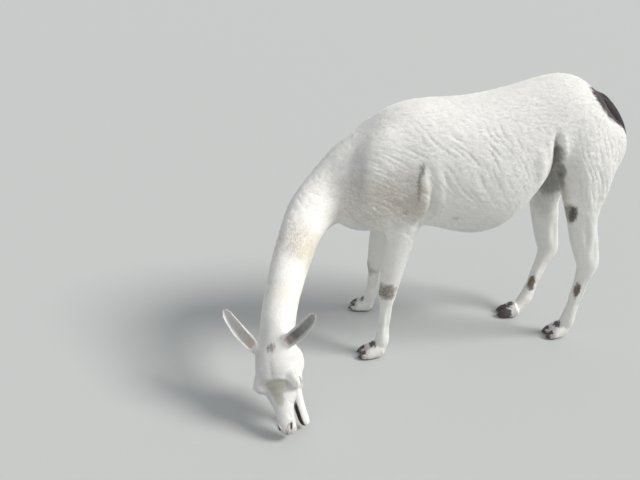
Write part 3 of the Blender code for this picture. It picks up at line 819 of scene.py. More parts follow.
def ear_share(head):
    """1 on the free part of either ear, for points in head coordinates."""
    cover = np.zeros(len(head))
    for shape, side in EARS:
        root, along, *_ = ear_axes(shape, side)
        local = head - np.array(root)
        share = local @ np.array(along) / EAR_LENGTH
        off = np.linalg.norm(local - np.outer(share * EAR_LENGTH, np.array(along)), axis=1)
        cover = np.maximum(cover, ramp(share, 0.12, 0.1) * (off < 0.045) * (share < 1.2))
    return cover


def whole_skin():
    """The flesh's outline: trunk and legs on the body's grid, head and feet spliced on, finer."""
    masses = trunk_masses() + [neck_mass()] + head_masses()
    for name, leg in LEGS.items():
        masses += leg_masses(name, leg)
    skin = fused("skin", masses, BODY_GRID)
    co = positions(skin.data)
    trunk = ramp(co[:, 2], 0.5, 0.12) * (1 - near(co, POLL, 0.3, 0.12))
    relaxed(skin, TRUNK_SMOOTHING * trunk, TRUNK_ROUNDS)
    relaxed(skin, SMOOTHING, 7)

    ears = [ear_mass("ear", shape, side) for shape, side in EARS]
    head = fused("head", head_masses() + ears + [neck_mass()], HEAD_GRID)
    relaxed(head, SMOOTHING - 0.28 * ear_share(in_head(positions(head.data))), 24)
    eyes = [on_head(*sided(EYE_PLACE, side)) for side in (-1, 1)]
    co = positions(head.data)
    relaxed(head, 0.5 * np.maximum(*(near(co, eye, 0.03, 0.022) for eye in eyes)), LID_ROUNDS)
    lips, reach = FINER_LIPS
    finer(head, [(eye, FINER_EYE[0]) for eye in eyes] + [(on_head(*lips), reach)])
    finer(head, [(eye, FINER_EYE[1]) for eye in eyes])
    at, back = Vector(NECK_FORM[5][:3]), Vector(NECK_FORM[4][:3])
    splices = [(head, at, (at - back).normalized(), (POLL + LIP) / 2, 0.42)]
    for name, leg in LEGS.items():
        knee, fetlock = shank(leg)
        foot = fused(name, leg_masses(name, leg), FOOT_GRID)
        relaxed(foot, SMOOTHING, 10)
        at, ahead = knee.lerp(fetlock, FOOT_FROM), (fetlock - knee).normalized()
        splices.append((foot, at, ahead, fetlock, 0.16))
    skin = spliced(skin, splices)
    co = positions(skin.data)
    co[:, 2] = np.maximum(co[:, 2], 0)
    place(skin.data, co)
    return skin


# ---- sculpting
def pushed(skin, centre, radii, by, way=None):
    """Moves the skin round centre by this much, out along its normals or along way."""
    mesh = skin.data
    co = positions(mesh)
    heights = by * np.exp(-off_squared(co, centre, radii))
    if way is None:
        raised(mesh, heights)
    else:
        place(mesh, co + np.outer(heights, Vector(way).normalized()))


def away_from(co, path):
    """Each point's distance from a line through these points, and the share of the line nearest to it."""
    path = np.array([tuple(p) for p in path])
    share, away = to_lines(co, path[:-1], path[1:])
    nearest = away.argmin(axis=1)
    rows = np.arange(len(co))
    return away[rows, nearest], (nearest + share[rows, nearest, 0]) / (len(path) - 1)


def creased(skin, path, width, depth, lip):
    """A groove along a line on the skin, deepest midway along it, with a low swelling on both sides."""
    co = positions(skin.data)
    close = np.flatnonzero(near(co, np.mean([tuple(p) for p in path], axis=0), 0.3, 0.01) > 0)
    away, share = away_from(co[close], path)
    ends = np.sin(np.pi * np.clip(share, 0.03, 0.97)) ** 0.5
    heights = np.zeros(len(co))
    heights[close] = depth * ends * (lip * hump(away, 2.2 * width, width) - hump(away, 0, width))
    raised(skin.data, heights)


LID_OPENING = (0.0165, 0.01)  # half length and half height of the gap between the lids
EYE_LOOKS = Vector((0.14, 0.985, -0.03)).normalized()  # the left eye, in head coordinates
LID_SLOPE = 0.18
LID_DROP = 0.0026  # a grazing llama looks down: the gap sits below the eye's middle


def lid_axes(side):
    """From where an eye looks, in head coordinates: along its lids, up, and outwards."""
    looks = Vector(sided(EYE_LOOKS, side))
    along = Vector((1, 0, -LID_SLOPE))
    along = (along - along.dot(looks) * looks).normalized()
    up = looks.cross(along)
    if up.z < 0:
        up = -up
    return along, up, looks


def lid_plane(co, side):
    """Points round an eye, from its middle: along, up, outwards, and in head coordinates."""
    centre = np.array(sided(EYE_PLACE, side))
    local = in_head(co) - centre
    along, up, looks = (local @ np.array(axis) for axis in lid_axes(side))
    return along, up, looks, local, centre


def lid_gap(co, side):
    """Under 1 in the almond between the lids, growing away from it; large elsewhere."""
    along, up, out, local, _ = lid_plane(co, side)
    half = LID_OPENING[1] * np.cos(np.clip(along / 0.03, -1, 1))
    gap = np.sqrt((along / LID_OPENING[0]) ** 2 + ((up + LID_DROP) / half) ** 2)
    return np.where((out > 0) & (np.linalg.norm(local, axis=1) < 0.035), gap, NO_LID)


LID_SOFT = 0.0035  # how softly the lids leave the eyeball
LID_THICK = 0.0016
LID_CUT = 0.0085  # how far the skin sinks within the gap
NO_LID = 9.0  # what lid_gap says away from the eyes
# The lids' rolled edge and folds: height, more height on the upper lid, place, width. The gap ends at 1.
LID_FOLDS = (
    (0.0016, 0.0, 1.22, 0.17),
    (-0.0008, -0.001, 1.72, 0.13),
    (-0.0004, -0.0008, 2.25, 0.15),
    (0.0, 0.0012, 2.0, 0.16),
)


def lids(skin, side):
    """Wraps the skin over the eyeball, opens the almond between the lids, and rolls and folds the lids."""
    co = positions(skin.data)
    close = np.flatnonzero(near(co, on_head(*sided(EYE_PLACE, side)), 0.045, 0.001) > 0)
    _, up, out, local, centre = lid_plane(co[close], side)
    r = np.linalg.norm(local, axis=1)
    almond = np.minimum(lid_gap(co[close], side), 4.0)
    over = EYE_RADIUS + LID_THICK
    target = over + LID_SOFT * np.log1p(np.exp((r - over) / LID_SOFT))
    shell = ramp(almond, 2.6, -1.4)
    shell = shell * shell * (3 - 2 * shell)
    target += shell * (over + 0.0007 * almond - target)
    upper = held(0.5 + up / 0.006)
    for height, more, middle, width in LID_FOLDS:
        target += (height + more * upper) * hump(almond, middle, width)
    target -= LID_CUT * ramp(almond, 1.0, -0.1)
    target = np.where(out > 0, target, r)
    co[close] = from_head(local / r[:, None] * target[:, None] + centre)
    place(skin.data, co)


# Grooves on either side of the body: the left side's line, its width, depth, and the swelling beside it.
BODY_FOLDS = (
    # Before the thigh, and the thigh's own front edge.
    (((0.272, -0.2, 0.985), (0.282, -0.195, 0.93), (0.29, -0.185, 0.87)), 0.013, 0.014, 0.1),
    (((0.305, -0.2, 0.96), (0.328, -0.185, 0.88), (0.358, -0.17, 0.8), (0.385, -0.16, 0.68)),
     0.018, -0.012, 0.0),
    # Where the barrel leaves the flank.
    (((0.215, -0.21, 0.93), (0.232, -0.2, 0.85), (0.24, -0.18, 0.77)), 0.022, -0.006, 0.0),
    # Behind the upper arm, down to the elbow.
    (((-0.2, -0.22, 0.85), (-0.18, -0.22, 0.76), (-0.176, -0.2, 0.7), (-0.19, -0.19, 0.65),
      (-0.228, -0.16, 0.6)), 0.014, 0.018, 0.35),
    # The slack skin's slit behind the shoulder.
    (((-0.224, -0.22, 0.865), (-0.234, -0.22, 0.8), (-0.244, -0.21, 0.73)), 0.008, 0.015, 0.3),
    # The rear edge of the shoulder blade.
    (((-0.27, -0.2, 0.96), (-0.235, -0.23, 0.9), (-0.222, -0.235, 0.83)), 0.026, 0.006, 0.25),
    # Between neck and shoulder.
    (((-0.47, -0.13, 0.88), (-0.49, -0.16, 0.78), (-0.47, -0.17, 0.68)), 0.03, 0.006, 0.25),
    # Over the elbow, and between the muscles of the thigh.
    (((-0.33, -0.21, 0.66), (-0.28, -0.21, 0.635), (-0.235, -0.2, 0.625)), 0.012, 0.007, 0.3),
    (((0.47, -0.21, 0.86), (0.485, -0.21, 0.76), (0.49, -0.2, 0.66)), 0.022, 0.008, 0.25),
    (((0.425, -0.21, 0.9), (0.432, -0.21, 0.82), (0.455, -0.21, 0.74)), 0.016, 0.005, 0.3),
    # Between shin and muscle.
    (((0.455, -0.185, 0.6), (0.478, -0.172, 0.53), (0.5, -0.158, 0.455)), 0.012, 0.005, 0.3),
    # Over the stifle.
    (((0.372, -0.14, 0.672), (0.41, -0.18, 0.66), (0.45, -0.19, 0.668)), 0.01, 0.006, 0.4),
)
# Hollows before the tendon over each hock, on the side that is seen.
HOCK_HOLLOWS = (
    ((0.512, -0.156, 0.52), (0.53, -0.15, 0.46), (0.545, -0.145, 0.405)),
    ((0.452, 0.12, 0.48), (0.474, 0.128, 0.41), (0.49, 0.138, 0.345)),
)
# Swellings and hollows on either side of the head: middle in head coordinates, radius, height.
HEAD_SWELLINGS = (
    ((0.144, 0.064, 0.038), 0.019, -0.005),
    ((0.15, 0.084, 0.017), 0.014, 0.0062),
    ((0.1, 0.056, 0.022), 0.028, 0.0045),
    ((0.118, 0.03, 0.046), 0.024, 0.0015),
    ((0.152, 0.014, 0.046), 0.022, -0.0032),
    ((0.156, 0.034, 0.04), 0.018, -0.003),
    ((0.2, 0.05, -0.02), 0.022, 0.005),
)
# The same on either side of the body, with a radius each way.
BODY_SWELLINGS = (
    ((-0.215, -0.19, 0.72), (0.03, 0.06, 0.08), 0.012),
    ((-0.25, -0.19, 0.66), (0.04, 0.06, 0.045), 0.008),
    ((-0.33, -0.2, 0.72), (0.06, 0.06, 0.09), 0.005),
    ((0.4, -0.17, 0.83), (0.055, 0.08, 0.11), 0.008),
)
# The hollow between barrel and thigh: height, x, half width, depth.
FLANK = (
    (0.925, 0.286, 0.013, 0.012),
    (0.88, 0.294, 0.018, 0.02),
    (0.835, 0.304, 0.023, 0.025),
    (0.785, 0.318, 0.026, 0.024),
    (0.735, 0.328, 0.028, 0.02),
    (0.69, 0.336, 0.028, 0.014),
)
# Grooves on either side of the head, in head coordinates, on its left.
HEAD_FOLDS = (
    # The fold over the upper lid and the tear duct.
    (((0.122, 0.078, 0.014), (0.15, 0.084, 0.024), (0.178, 0.072, 0.014)), 0.005, -0.0035, 0.0),
    (((0.166, 0.078, -0.006), (0.184, 0.06, -0.012)), 0.003, 0.003, 0.25),
    # Nostril, and the hollow above it.
    (((0.287, 0.027, 0.013), (0.3, 0.023, 0.016), (0.314, 0.016, 0.012)), 0.003, 0.0095, 0.4),
    (((0.255, 0.026, 0.02), (0.282, 0.031, 0.012)), 0.006, 0.002, 0.25),
    # The corner of the mouth, and wrinkles beside the nose.
    (((0.205, 0.04, -0.045), (0.228, 0.036, -0.042), (0.25, 0.032, -0.04)), 0.003, 0.003, 0.3),
    (((0.215, 0.034, 0.018), (0.228, 0.037, 0.004), (0.236, 0.036, -0.01)), 0.004, 0.0018, 0.25),
)
STOP = (0.128, -6.0)  # where the forehead's wool ends on the bridge, and how much it curves back beside it
STOP_DEPTH = 0.0035
# Grooves along the middle of the head: over the forehead, and the split in the lip.
MIDDLE_FOLDS = (
    (((0.035, 0.004, 0.04), (0.09, 0.004, 0.05), (0.13, 0.004, 0.05)), 0.012, 0.0012, 0.2),
    (((0.306, 0, 0.024), (0.324, 0, 0.014), (0.337, 0, -0.006), (0.332, 0, -0.022)), 0.0026, 0.0055, 0.3),
)
TENDON = ((0.01, 0.023, 0.0), (0.22, 0.5, 0.8), 0.009, 0.0045, 0.3)  # from the bone, shares of it, groove
HOCK_GROOVE = (0.016, 0.006, 0.15)


def sculpted(skin):
    """Folds of the hide, and the face's fine forms."""
    for side in (-1, 1):
        for path, *groove in BODY_FOLDS:
            creased(skin, [sided(point, -side) for point in path], *groove)
        for z, x, half, depth in FLANK:
            pushed(skin, (x, side * 0.17, z), (half, 0.1, 0.038), -depth, (-0.35, side, 0))
        for centre, radii, height in BODY_SWELLINGS:
            pushed(skin, sided(centre, -side), radii, height)
        for centre, radius, height in HEAD_SWELLINGS:
            pushed(skin, on_head(*sided(centre, side)), radius, height)
        lids(skin, side)
        for path, *groove in HEAD_FOLDS:
            creased(skin, [on_head(*sided(point, side)) for point in path], *groove)
    for path in HOCK_HOLLOWS:
        creased(skin, path, *HOCK_GROOVE)
    beside, shares, *groove = TENDON
    for leg in LEGS.values():
        knee, fetlock = shank(leg)
        for side in (-1, 1):
            path = [knee.lerp(fetlock, share) + Vector(sided(beside, side)) for share in shares]
            creased(skin, path, *groove)
    for path, *groove in MIDDLE_FOLDS:
        creased(skin, [on_head(*point) for point in path], *groove)
    # The wool of the forehead ends in a low step over the bare bridge.
    x, y, z = in_head(positions(skin.data)).T
    beyond = x - STOP[0] + STOP[1] * y**2
    front = ramp(z, 0.004, 0.012) * ramp(np.abs(y), 0.06, -0.015)
    step = held(0.5 + beyond / 0.006) * ramp(x, 0.205, -0.06)
    brim = 0.5 * hump(beyond, -0.006, 0.006)
    raised(skin.data, STOP_DEPTH * front * (brim - step))


RIPPLE_HEIGHT = 0.0032
LONG_GAP = 0.021  # from wrinkle to wrinkle, on barrel and thigh
FINE_GAP = 0.016  # on shoulder and neck
CLOTHED_ABOVE = 0.48  # the legs are smooth below this height


def wobble(co, size, seed):
    """Smooth noise from -1 to 1 over lumps of this size."""
    start = Vector((seed * 17.3, seed * 5.1, seed * 9.7))
    return np.array([noise.noise(Vector(p) / size + start) for p in co])


def long_valleys(across, along, y, gap, seed):
    """1 on the flats, -1 in long narrow valleys about gap apart, which wander, begin and end."""
    shift = wobble(np.stack([along / 3, across, y], axis=1), 2.4 * gap, seed)
    phase = across / gap + 1.1 * shift
    deep = 1.6 * wobble(np.stack([along / 5, across, y / 2], axis=1), 1.1 * gap, seed + 0.5)
    return 1 - 2 * hump(phase, np.round(phase), 0.17) * held(0.5 + deep)


def ripple(co):
    """Where a point lies on the wrinkles of the clipped coat, from -1 to 1. None on head and lower legs."""
    out = np.zeros(len(co))
    clothed = np.flatnonzero(co[:, 2] > CLOTHED_ABOVE)
    co = co[clothed]
    x, y, z = co.T
    back, up = x + 0.05, z - 0.82
    slant = np.radians(np.clip(50 + 45 * back, 38, 70))
    across = back * np.sin(slant) + up * np.cos(slant)
    along = back * np.cos(slant) - up * np.sin(slant)
    long_lines = long_valleys(across, along, y, LONG_GAP, 1.0)
    fine_lines = long_valleys(z + 0.45 * x, x, y, FINE_GAP, 2.0)
    patchy = np.clip(0.85 + wobble(co, 0.11, 4.0), 0.15, 1)
    barrel = hump(x, -0.05, 0.22) * hump(z, 0.82, 0.18)
    thigh = 0.8 * hump(x, 0.47, 0.1) * hump(z, 0.82, 0.17)
    shoulder = 0.8 * hump(x, -0.38, 0.15) * hump(z, 0.77, 0.15)
    neck = 0.5 * hump(x, -0.6, 0.13) * hump(z, 0.68, 0.12)
    wrinkles = long_lines * np.maximum(barrel, thigh) + fine_lines * np.maximum(shoulder, neck)
    crumbs = wobble(np.stack([x / 1.8, y, z], axis=1), 0.0085, 6.0) + 0.6 * wobble(co, 0.022, 7.0)
    out[clothed] = patchy * wrinkles + 0.42 * crumbs * ramp(z, 0.5, 0.1)
    return out


def rippled(skin):
    """The shears leave low waves in the coat: long and slanting on the barrel, finer on shoulder and neck."""
    raised(skin.data, ripple(positions(skin.data)) * RIPPLE_HEIGHT)


def inset(skin):
    """Draws the skin in by the coat's depth, but not at the soles."""
    co = positions(skin.data)
    _, lengths = GUIDES.read(co)
    raised(skin.data, -COAT_DEPTH * lengths * ramp(co[:, 2], 0, 0.006))


# ---- markings, and painted shade
WHITE = (0.91, 0.895, 0.86)
DIRT = (0.5, 0.44, 0.36)
STAIN = (0.72, 0.64, 0.46)
BROWN = (0.2, 0.155, 0.12)
DARK = (0.035, 0.028, 0.026)
PINK = (0.7, 0.5, 0.45)
GREY = (0.4, 0.39, 0.37)
BEIGE = (0.56, 0.53, 0.45)
BRIDGE = (0.49, 0.475, 0.4)
TAIL_DARK = (0.045, 0.03, 0.033)
# Near black: painted shade deep in hollows, and the dark core of the stifle patch.
SHADE_AND_PATCH_DARK = (0.085, 0.08, 0.07)
# Mid grey of painted shade: in the flank's hollow and at the muzzle's tip.
SHADE_GREY = (0.27, 0.26, 0.235)
UMBER = (0.22, 0.16, 0.1)
OLIVE = (0.17, 0.145, 0.095)
# Grey of the painted shade laid over the whole face.
FACE_SHADE = (0.52, 0.525, 0.52)
TOE_SKIN = (0.4, 0.335, 0.31)

# Markings on body and legs, and painted shade in some folds and hollows: centre, half sizes, colour,
# strength, speckle (0 even, 1 only flecks).
BODY_MARKS = (
    ((-0.338, -0.2, 0.32), (0.05, 0.05, 0.038), OLIVE, 0.9, 0.3),
    ((-0.352, 0.15, 0.262), (0.045, 0.045, 0.045), BROWN, 0.65, 0.4),
    ((0.396, -0.15, 0.632), (0.026, 0.045, 0.058), OLIVE, 0.85, 0.45),
    ((0.404, -0.168, 0.632), (0.013, 0.03, 0.044), SHADE_AND_PATCH_DARK, 0.95, 0.2),
    # Painted shade in the groin, on the far thigh's inner side, where the skin is also thinly haired and
    # grey.
    ((0.388, 0.06, 0.61), (0.08, 0.07, 0.15), GREY, 0.45, 0.4),
    ((0.388, 0.05, 0.7), (0.075, 0.06, 0.085), SHADE_AND_PATCH_DARK, 0.62, 0.15),
    ((0.497, -0.135, 0.255), (0.024, 0.024, 0.046), DARK, 0.85, 0.0),
    ((0.497, -0.135, 0.255), (0.014, 0.022, 0.034), UMBER, 1.0, 0.0),
    ((0.399, 0.1, 0.175), (0.025, 0.027, 0.044), DARK, 0.85, 0.0),
    ((0.399, 0.1, 0.175), (0.015, 0.025, 0.032), UMBER, 1.0, 0.0),
    ((0.552, -0.15, 0.262), (0.022, 0.016, 0.035), BROWN, 0.6, 0.2),
    # The slack skin's slit behind the shoulder, painted dark for the shade inside it.
    ((-0.227, -0.2, 0.85), (0.007, 0.05, 0.026), DARK, 0.75, 0.3),
    ((-0.237, -0.2, 0.785), (0.0065, 0.05, 0.075), BROWN, 0.8, 0.2),
    ((-0.3, -0.2, 0.74), (0.12, 0.1, 0.12), DIRT, 0.62, 0.7),
    ((-0.25, -0.2, 0.68), (0.08, 0.1, 0.08), DIRT, 0.5, 0.6),
    ((-0.28, -0.21, 0.675), (0.012, 0.05, 0.01), BROWN, 0.55, 0.4),
    ((-0.42, -0.15, 0.7), (0.16, 0.1, 0.13), DIRT, 0.6, 0.7),
    ((-0.08, -0.19, 0.64), (0.02, 0.06, 0.012), BROWN, 0.35, 0.7),
    ((-0.7, -0.28, 0.6), (0.09, 0.08, 0.12), DIRT, 0.7, 0.85),
    ((-0.715, -0.29, 0.575), (0.03, 0.05, 0.05), GREY, 0.55, 0.8),
    ((-0.64, -0.24, 0.52), (0.12, 0.1, 0.1), STAIN, 0.6, 0.5),
    # Painted shade at the neck's base, where it meets the shoulder.
    ((-0.465, -0.16, 0.83), (0.04, 0.08, 0.12), GREY, 0.32, 0.4),
    ((-0.77, -0.42, 0.46), (0.05, 0.05, 0.08), STAIN, 0.25, 0.6),
    ((0.0, 0.0, 0.5), (0.4, 0.16, 0.08), BEIGE, 0.35, 0.5),
    # Painted shade in the hollow between barrel and thigh, darkest deep in it, where the skin is also thinly
    # haired and grey.
    ((0.302, -0.16, 0.83), (0.034, 0.07, 0.085), GREY, 0.55, 0.2),
    ((0.298, -0.16, 0.85), (0.022, 0.07, 0.075), SHADE_GREY, 0.8, 0.1),
    ((0.293, -0.165, 0.875), (0.012, 0.06, 0.06), SHADE_AND_PATCH_DARK, 0.5, 0.1),
    ((0.285, -0.19, 0.93), (0.007, 0.05, 0.045), SHADE_AND_PATCH_DARK, 0.45, 0.1),
    ((0.335, -0.135, 0.8), (0.018, 0.06, 0.045), SHADE_AND_PATCH_DARK, 0.6, 0.1),
    ((0.345, -0.115, 0.74), (0.02, 0.06, 0.06), SHADE_AND_PATCH_DARK, 0.55, 0.1),
    ((0.312, -0.15, 0.8), (0.018, 0.06, 0.07), SHADE_AND_PATCH_DARK, 0.5, 0.1),
    ((0.33, -0.14, 0.74), (0.03, 0.06, 0.07), SHADE_GREY, 0.6, 0.2),
    ((0.345, -0.13, 0.7), (0.04, 0.05, 0.08), DIRT, 0.5, 0.5),
    ((0.454, -0.072, 1.088), (0.04, 0.056, 0.042), TAIL_DARK, 1.0, 0.05),
    ((0.474, -0.078, 1.07), (0.046, 0.058, 0.046), TAIL_DARK, 1.0, 0.05),
    ((0.5, -0.075, 1.048), (0.048, 0.058, 0.046), TAIL_DARK, 1.0, 0.05),
    ((0.528, -0.07, 1.02), (0.046, 0.052, 0.046), TAIL_DARK, 1.0, 0.05),
    ((0.552, -0.064, 0.995), (0.044, 0.046, 0.046), TAIL_DARK, 1.0, 0.05),
    ((0.572, -0.052, 0.968), (0.038, 0.036, 0.044), TAIL_DARK, 1.0, 0.05),
)
# Markings on the head, and painted shade on face, bridge, muzzle and nostrils, in head coordinates.
HEAD_MARKS = (
    # Painted shade: the whole face is greyed a little.
    ((0.12, 0.0, 0.0), (0.19, 0.085, 0.1), FACE_SHADE, 0.34, 0.2),
    ((0.02, 0.012, 0.03), (0.018, 0.0065, 0.02), DARK, 0.85, 0.45),
    ((0.021, -0.001, 0.032), (0.015, 0.007, 0.02), DARK, 0.8, 0.55),
    ((0.015, 0.022, 0.032), (0.012, 0.0055, 0.02), BROWN, 0.75, 0.5),
    ((0.024, 0.012, 0.035), (0.02, 0.022, 0.02), DIRT, 0.35, 0.6),
    ((0.095, 0.004, 0.05), (0.06, 0.007, 0.02), GREY, 0.4, 0.75),
    # The bridge below the stop: its own beige, painted darker as well for the shade there.
    ((0.15, 0.004, 0.04), (0.022, 0.054, 0.03), BRIDGE, 0.78, 0.15),
    ((0.172, 0.004, 0.036), (0.024, 0.036, 0.026), BRIDGE, 0.85, 0.15),
    ((0.2, 0.004, 0.03), (0.026, 0.02, 0.018), BRIDGE, 0.8, 0.2),
    ((0.29, -0.03, 0.01), (0.045, 0.026, 0.034), GREY, 0.4, 0.7),
    ((0.29, 0.03, 0.005), (0.04, 0.024, 0.034), GREY, 0.28, 0.7),
    ((0.318, 0.0, 0.005), (0.026, 0.03, 0.026), PINK, 0.3, 0.45),
    # Painted shade darkening the muzzle's tip.
    ((0.322, 0.008, -0.002), (0.024, 0.028, 0.024), SHADE_GREY, 0.5, 0.45),
    # The nostrils, painted dark for the shade inside them.
    ((0.301, 0.0225, 0.014), (0.013, 0.004, 0.009), DARK, 1.0, 0.0),
    ((0.301, -0.0225, 0.014), (0.013, 0.0038, 0.009), DARK, 0.9, 0.0),
    ((0.176, 0.064, -0.01), (0.01, 0.01, 0.004), GREY, 0.5, 0.3),
    ((0.176, -0.064, -0.01), (0.01, 0.01, 0.004), GREY, 0.5, 0.3),
)
# The mouth's inside, painted near black for the shade in the gap between the jaws.
MOUTH = (0.045, 0.022, 0.02)
NOSTRIL = ((0.301, 0.0225, 0.014), (0.013, 0.0035, 0.009))  # the left one's middle and radii


def blend(colour, cover, tint):
    """Lays tint over colours, over each by its own cover."""
    colour += cover[:, None] * (tint - colour)


MARK_REACH = 1.6  # how far out a marking is looked for, in its own half sizes
MARK_RAGGED = 0.26
MARK_EDGE = 1.15
FLECK_SIZE = 0.006


def marked(co, colour, marks):
    """Lays each marking and each patch of painted shade over the colour so far, with ragged edges."""
    for number, (centre, radii, tint, strength, speckle) in enumerate(marks):
        far = np.sqrt(off_squared(co, centre, radii))
        close = np.flatnonzero(far < MARK_REACH)
        if not len(close):
            continue
        size = float(np.mean(radii))
        ragged = far[close] + MARK_RAGGED * wobble(co[close], size * 0.35, number + 3.0)
        cover = ramp(ragged, MARK_EDGE, -(0.3 + 0.55 * speckle))
        if speckle:
            fleck = wobble(co[close], min(size * 0.14, FLECK_SIZE), number + 30.0)
            fleck = held(0.5 + 2.2 * fleck)
            cover = cover * (1 - speckle + speckle * fleck)
        cover = (cover * strength)[:, None]
        colour[close] += cover * (tint - colour[close])
    return colour


def painted(co):
    """The markings' colour at points of the body, painted shade included."""
    broad = wobble(co, 0.12, 8.0)[:, None]
    fine = wobble(co, 0.018, 9.0)[:, None]
    colour = np.tile(WHITE, (len(co), 1)) * (1 + 0.03 * broad + 0.03 * fine)
    colour = marked(co, colour, BODY_MARKS)
    head = in_head(co)
    colour = marked(head, colour, HEAD_MARKS)
    for side in (-1, 1):
        blend(colour, 0.9 * ramp(lid_gap(co, side), 1.24, -0.12), DARK)
    # Painted shade inside the mouth.
    blend(colour, mouth_inside(head), MOUTH)
    for shape, side in EARS:
        colour = ear_colour(head, colour, shape, side)
    for leg in LEGS.values():
        colour = foot_colour(co, colour, leg)
    return colour


def mouth_inside(head):
    """1 inside the mouth, for points in head coordinates."""
    x, y, z = head.T
    jaw = np.array(jaw_turn().inverted())
    _, y_jaw, z_jaw = (head @ jaw[:3, :3].T + jaw[:3, 3]).T
    gap = ramp(x, 0.225, 0.02) * ramp(z, -0.03, -0.008) * (ramp(z_jaw, -0.046, 0.008) * (np.abs(y) < 0.05))
    return gap * np.where(z < -0.055, ramp(y_jaw, 0.002, -0.004), ramp(np.abs(y), 0.016, -0.004))


def ear_inside(head, shape, side):
    """1 in the hollow of an ear, 0 on its back, with the share of its length. In head coordinates."""
    root, along, _, across, inwards = ear_axes(shape, side)
    local = head - np.array(root)
    share = local @ np.array(along) / EAR_LENGTH
    bend = EAR_BEND * np.sin(np.pi * held(share))
    local = local + np.array(inwards) * bend[:, None]
    from_axis = local - np.outer(share * EAR_LENGTH, np.array(along))
    r = np.linalg.norm(from_axis, axis=1)
    form = np.array(EAR_FORM)
    radius = np.interp(share, form[:, 0], form[:, 1])
    wall = np.interp(share, form[:, 0], form[:, 3])
    inside = held((radius - 0.6 * wall - r) / 0.004 + 0.5)
    aside = np.abs(local @ np.array(across))
    inside *= held((0.58 * radius - aside) / 0.008 + 0.5)
    return inside * (share > 0.03) * (share < 1.1) * (r < 0.03), share


EAR_GREY = {1: (0.045, 0.044, 0.042), -1: (0.62, 0.595, 0.575)}  # the left ear is the darker one
EAR_PINK = (0.76, 0.6, 0.54)


def ear_colour(head, colour, shape, side):
    """An ear's grey hollow, pink at the root and a little at the tip."""
    inside, share = ear_inside(head, shape, side)
    close = inside > 0
    root = hump(share, 0.06, 0.13 - 0.03 * side) * (0.85 - 0.15 * side)
    pink = root + 0.5 * hump(share, 1.0, 0.1)
    tint = np.tile(EAR_GREY[side], (len(head), 1)) + 0.05 * held(share / 0.9)[:, None]
    tint[close] += 0.1 * wobble(head[close], 0.012, 45.0)[:, None]
    blend(tint, held(pink), EAR_PINK)
    cover = (0.85 * inside)[:, None]
    colour[close] += (cover * (tint - colour))[close]
    return colour


def foot_colour(co, colour, leg):
    """Dark skin at the toes, on the right hind foot from far back, and low on the front of each pastern."""
    length = leg["foot"]
    local = within(foot_frame(leg), co)
    ahead, aside, up = local.T
    on_foot = (np.abs(aside) < 0.06) & (ahead > -0.08) & (ahead < 0.12) & (up < 0.12)
    ragged = ahead / length
    bare = ramp(ragged, 0.42, 0.25) * (up < 0.07) * on_foot
    ragged[on_foot] += 0.1 * wobble(co[on_foot], 0.012, 40.0)
    toes = ramp(ragged, 0.18 if leg is LEGS["hindleg_right"] else 0.8, 0.08) * (up < 0.05)
    sole = ramp(up, 0.01, -0.004)
    pastern = np.sqrt(off_squared(local, (0.3 * length, 0, 0.058), (0.024, 0.028, 0.022)))
    pastern[on_foot] += 0.5 * wobble(co[on_foot], 0.008, 41.0)
    dark = np.maximum(np.maximum(toes, sole), ramp(pastern, 1.0, -0.4)) * on_foot
    bare[on_foot] *= 0.55 + 0.8 * wobble(co[on_foot], 0.006, 42.0)
    blend(colour, np.clip(bare, 0, 0.9), TOE_SKIN)
    blend(colour, 0.88 * dark, DARK)
    return colour


# ---- finishes
def principled(name, roughness, **values):
    """A new material with its surface's inputs set."""
    finish = bpy.data.materials.new(name)
    finish.use_nodes = True
    surface = finish.node_tree.nodes["Principled BSDF"]
    surface.inputs["Roughness"].default_value = roughness
    for key, value in values.items():
        surface.inputs[key.replace("_", " ")].default_value = value
    return finish


def painted_finish(name, roughness, **values):
    """A material whose colour comes from the piece's painted attribute."""
    finish = principled(name, roughness, **values)
    nodes, links = finish.node_tree.nodes, finish.node_tree.links
    source = nodes.new("ShaderNodeAttribute")
    source.attribute_name = "paint"
    links.new(source.outputs["Color"], nodes["Principled BSDF"].inputs["Base Color"])
    return finish


def bumpy(finish, scale, distance, stretch=(1, 1, 1)):
    """Fine relief from noise over the piece's own coordinates."""
    nodes, links = finish.node_tree.nodes, finish.node_tree.links
    where = nodes.new("ShaderNodeTexCoord")
    fit = nodes.new("ShaderNodeMapping")
    fit.inputs["Scale"].default_value = stretch
    grain = nodes.new("ShaderNodeTexNoise")
    grain.inputs["Scale"].default_value = scale
    grain.inputs["Detail"].default_value = 3
    bump = nodes.new("ShaderNodeBump")
    bump.inputs["Distance"].default_value = distance
    bump.inputs["Strength"].default_value = 0.6
    links.new(where.outputs["Object"], fit.inputs["Vector"])
    links.new(fit.outputs["Vector"], grain.inputs["Vector"])
    links.new(grain.outputs["Fac"], bump.inputs["Height"])
    links.new(bump.outputs["Normal"], nodes["Principled BSDF"].inputs["Normal"])
    return finish


def paint(mesh, colour):
    """Keeps a colour for each vertex."""
    layer = mesh.color_attributes.new("paint", "FLOAT_COLOR", "POINT")
    rgba = np.ones((len(mesh.vertices), 4))
    rgba[:, :3] = held(colour)
    layer.data.foreach_set("color", rgba.ravel())


def dressed(obj, finish):
    """Shifts a finished piece onto the solids, and gives it its finish."""
    obj.data.materials.clear()
    obj.data.materials.append(finish)
    obj.data.shade_smooth()
    obj.data.transform(Matrix.Translation(SHIFT))
    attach(obj, "root")
    return obj


HIDE = bumpy(painted_finish("hide", 0.75), scale=900, distance=0.0006)
FLEECE = painted_finish("fleece_tufts", 0.85, Sheen_Weight=0.25, Sheen_Roughness=0.6)
TAIL_HAIR = painted_finish("tail_tufts", 0.7, Sheen_Weight=0.1)
HORN = bumpy(painted_finish("nail_horn", 0.42), scale=260, distance=0.0004, stretch=(1, 1, 4))
WET = painted_finish("eye_wet", 0.04, Coat_Weight=1.0, Coat_Roughness=0.02)


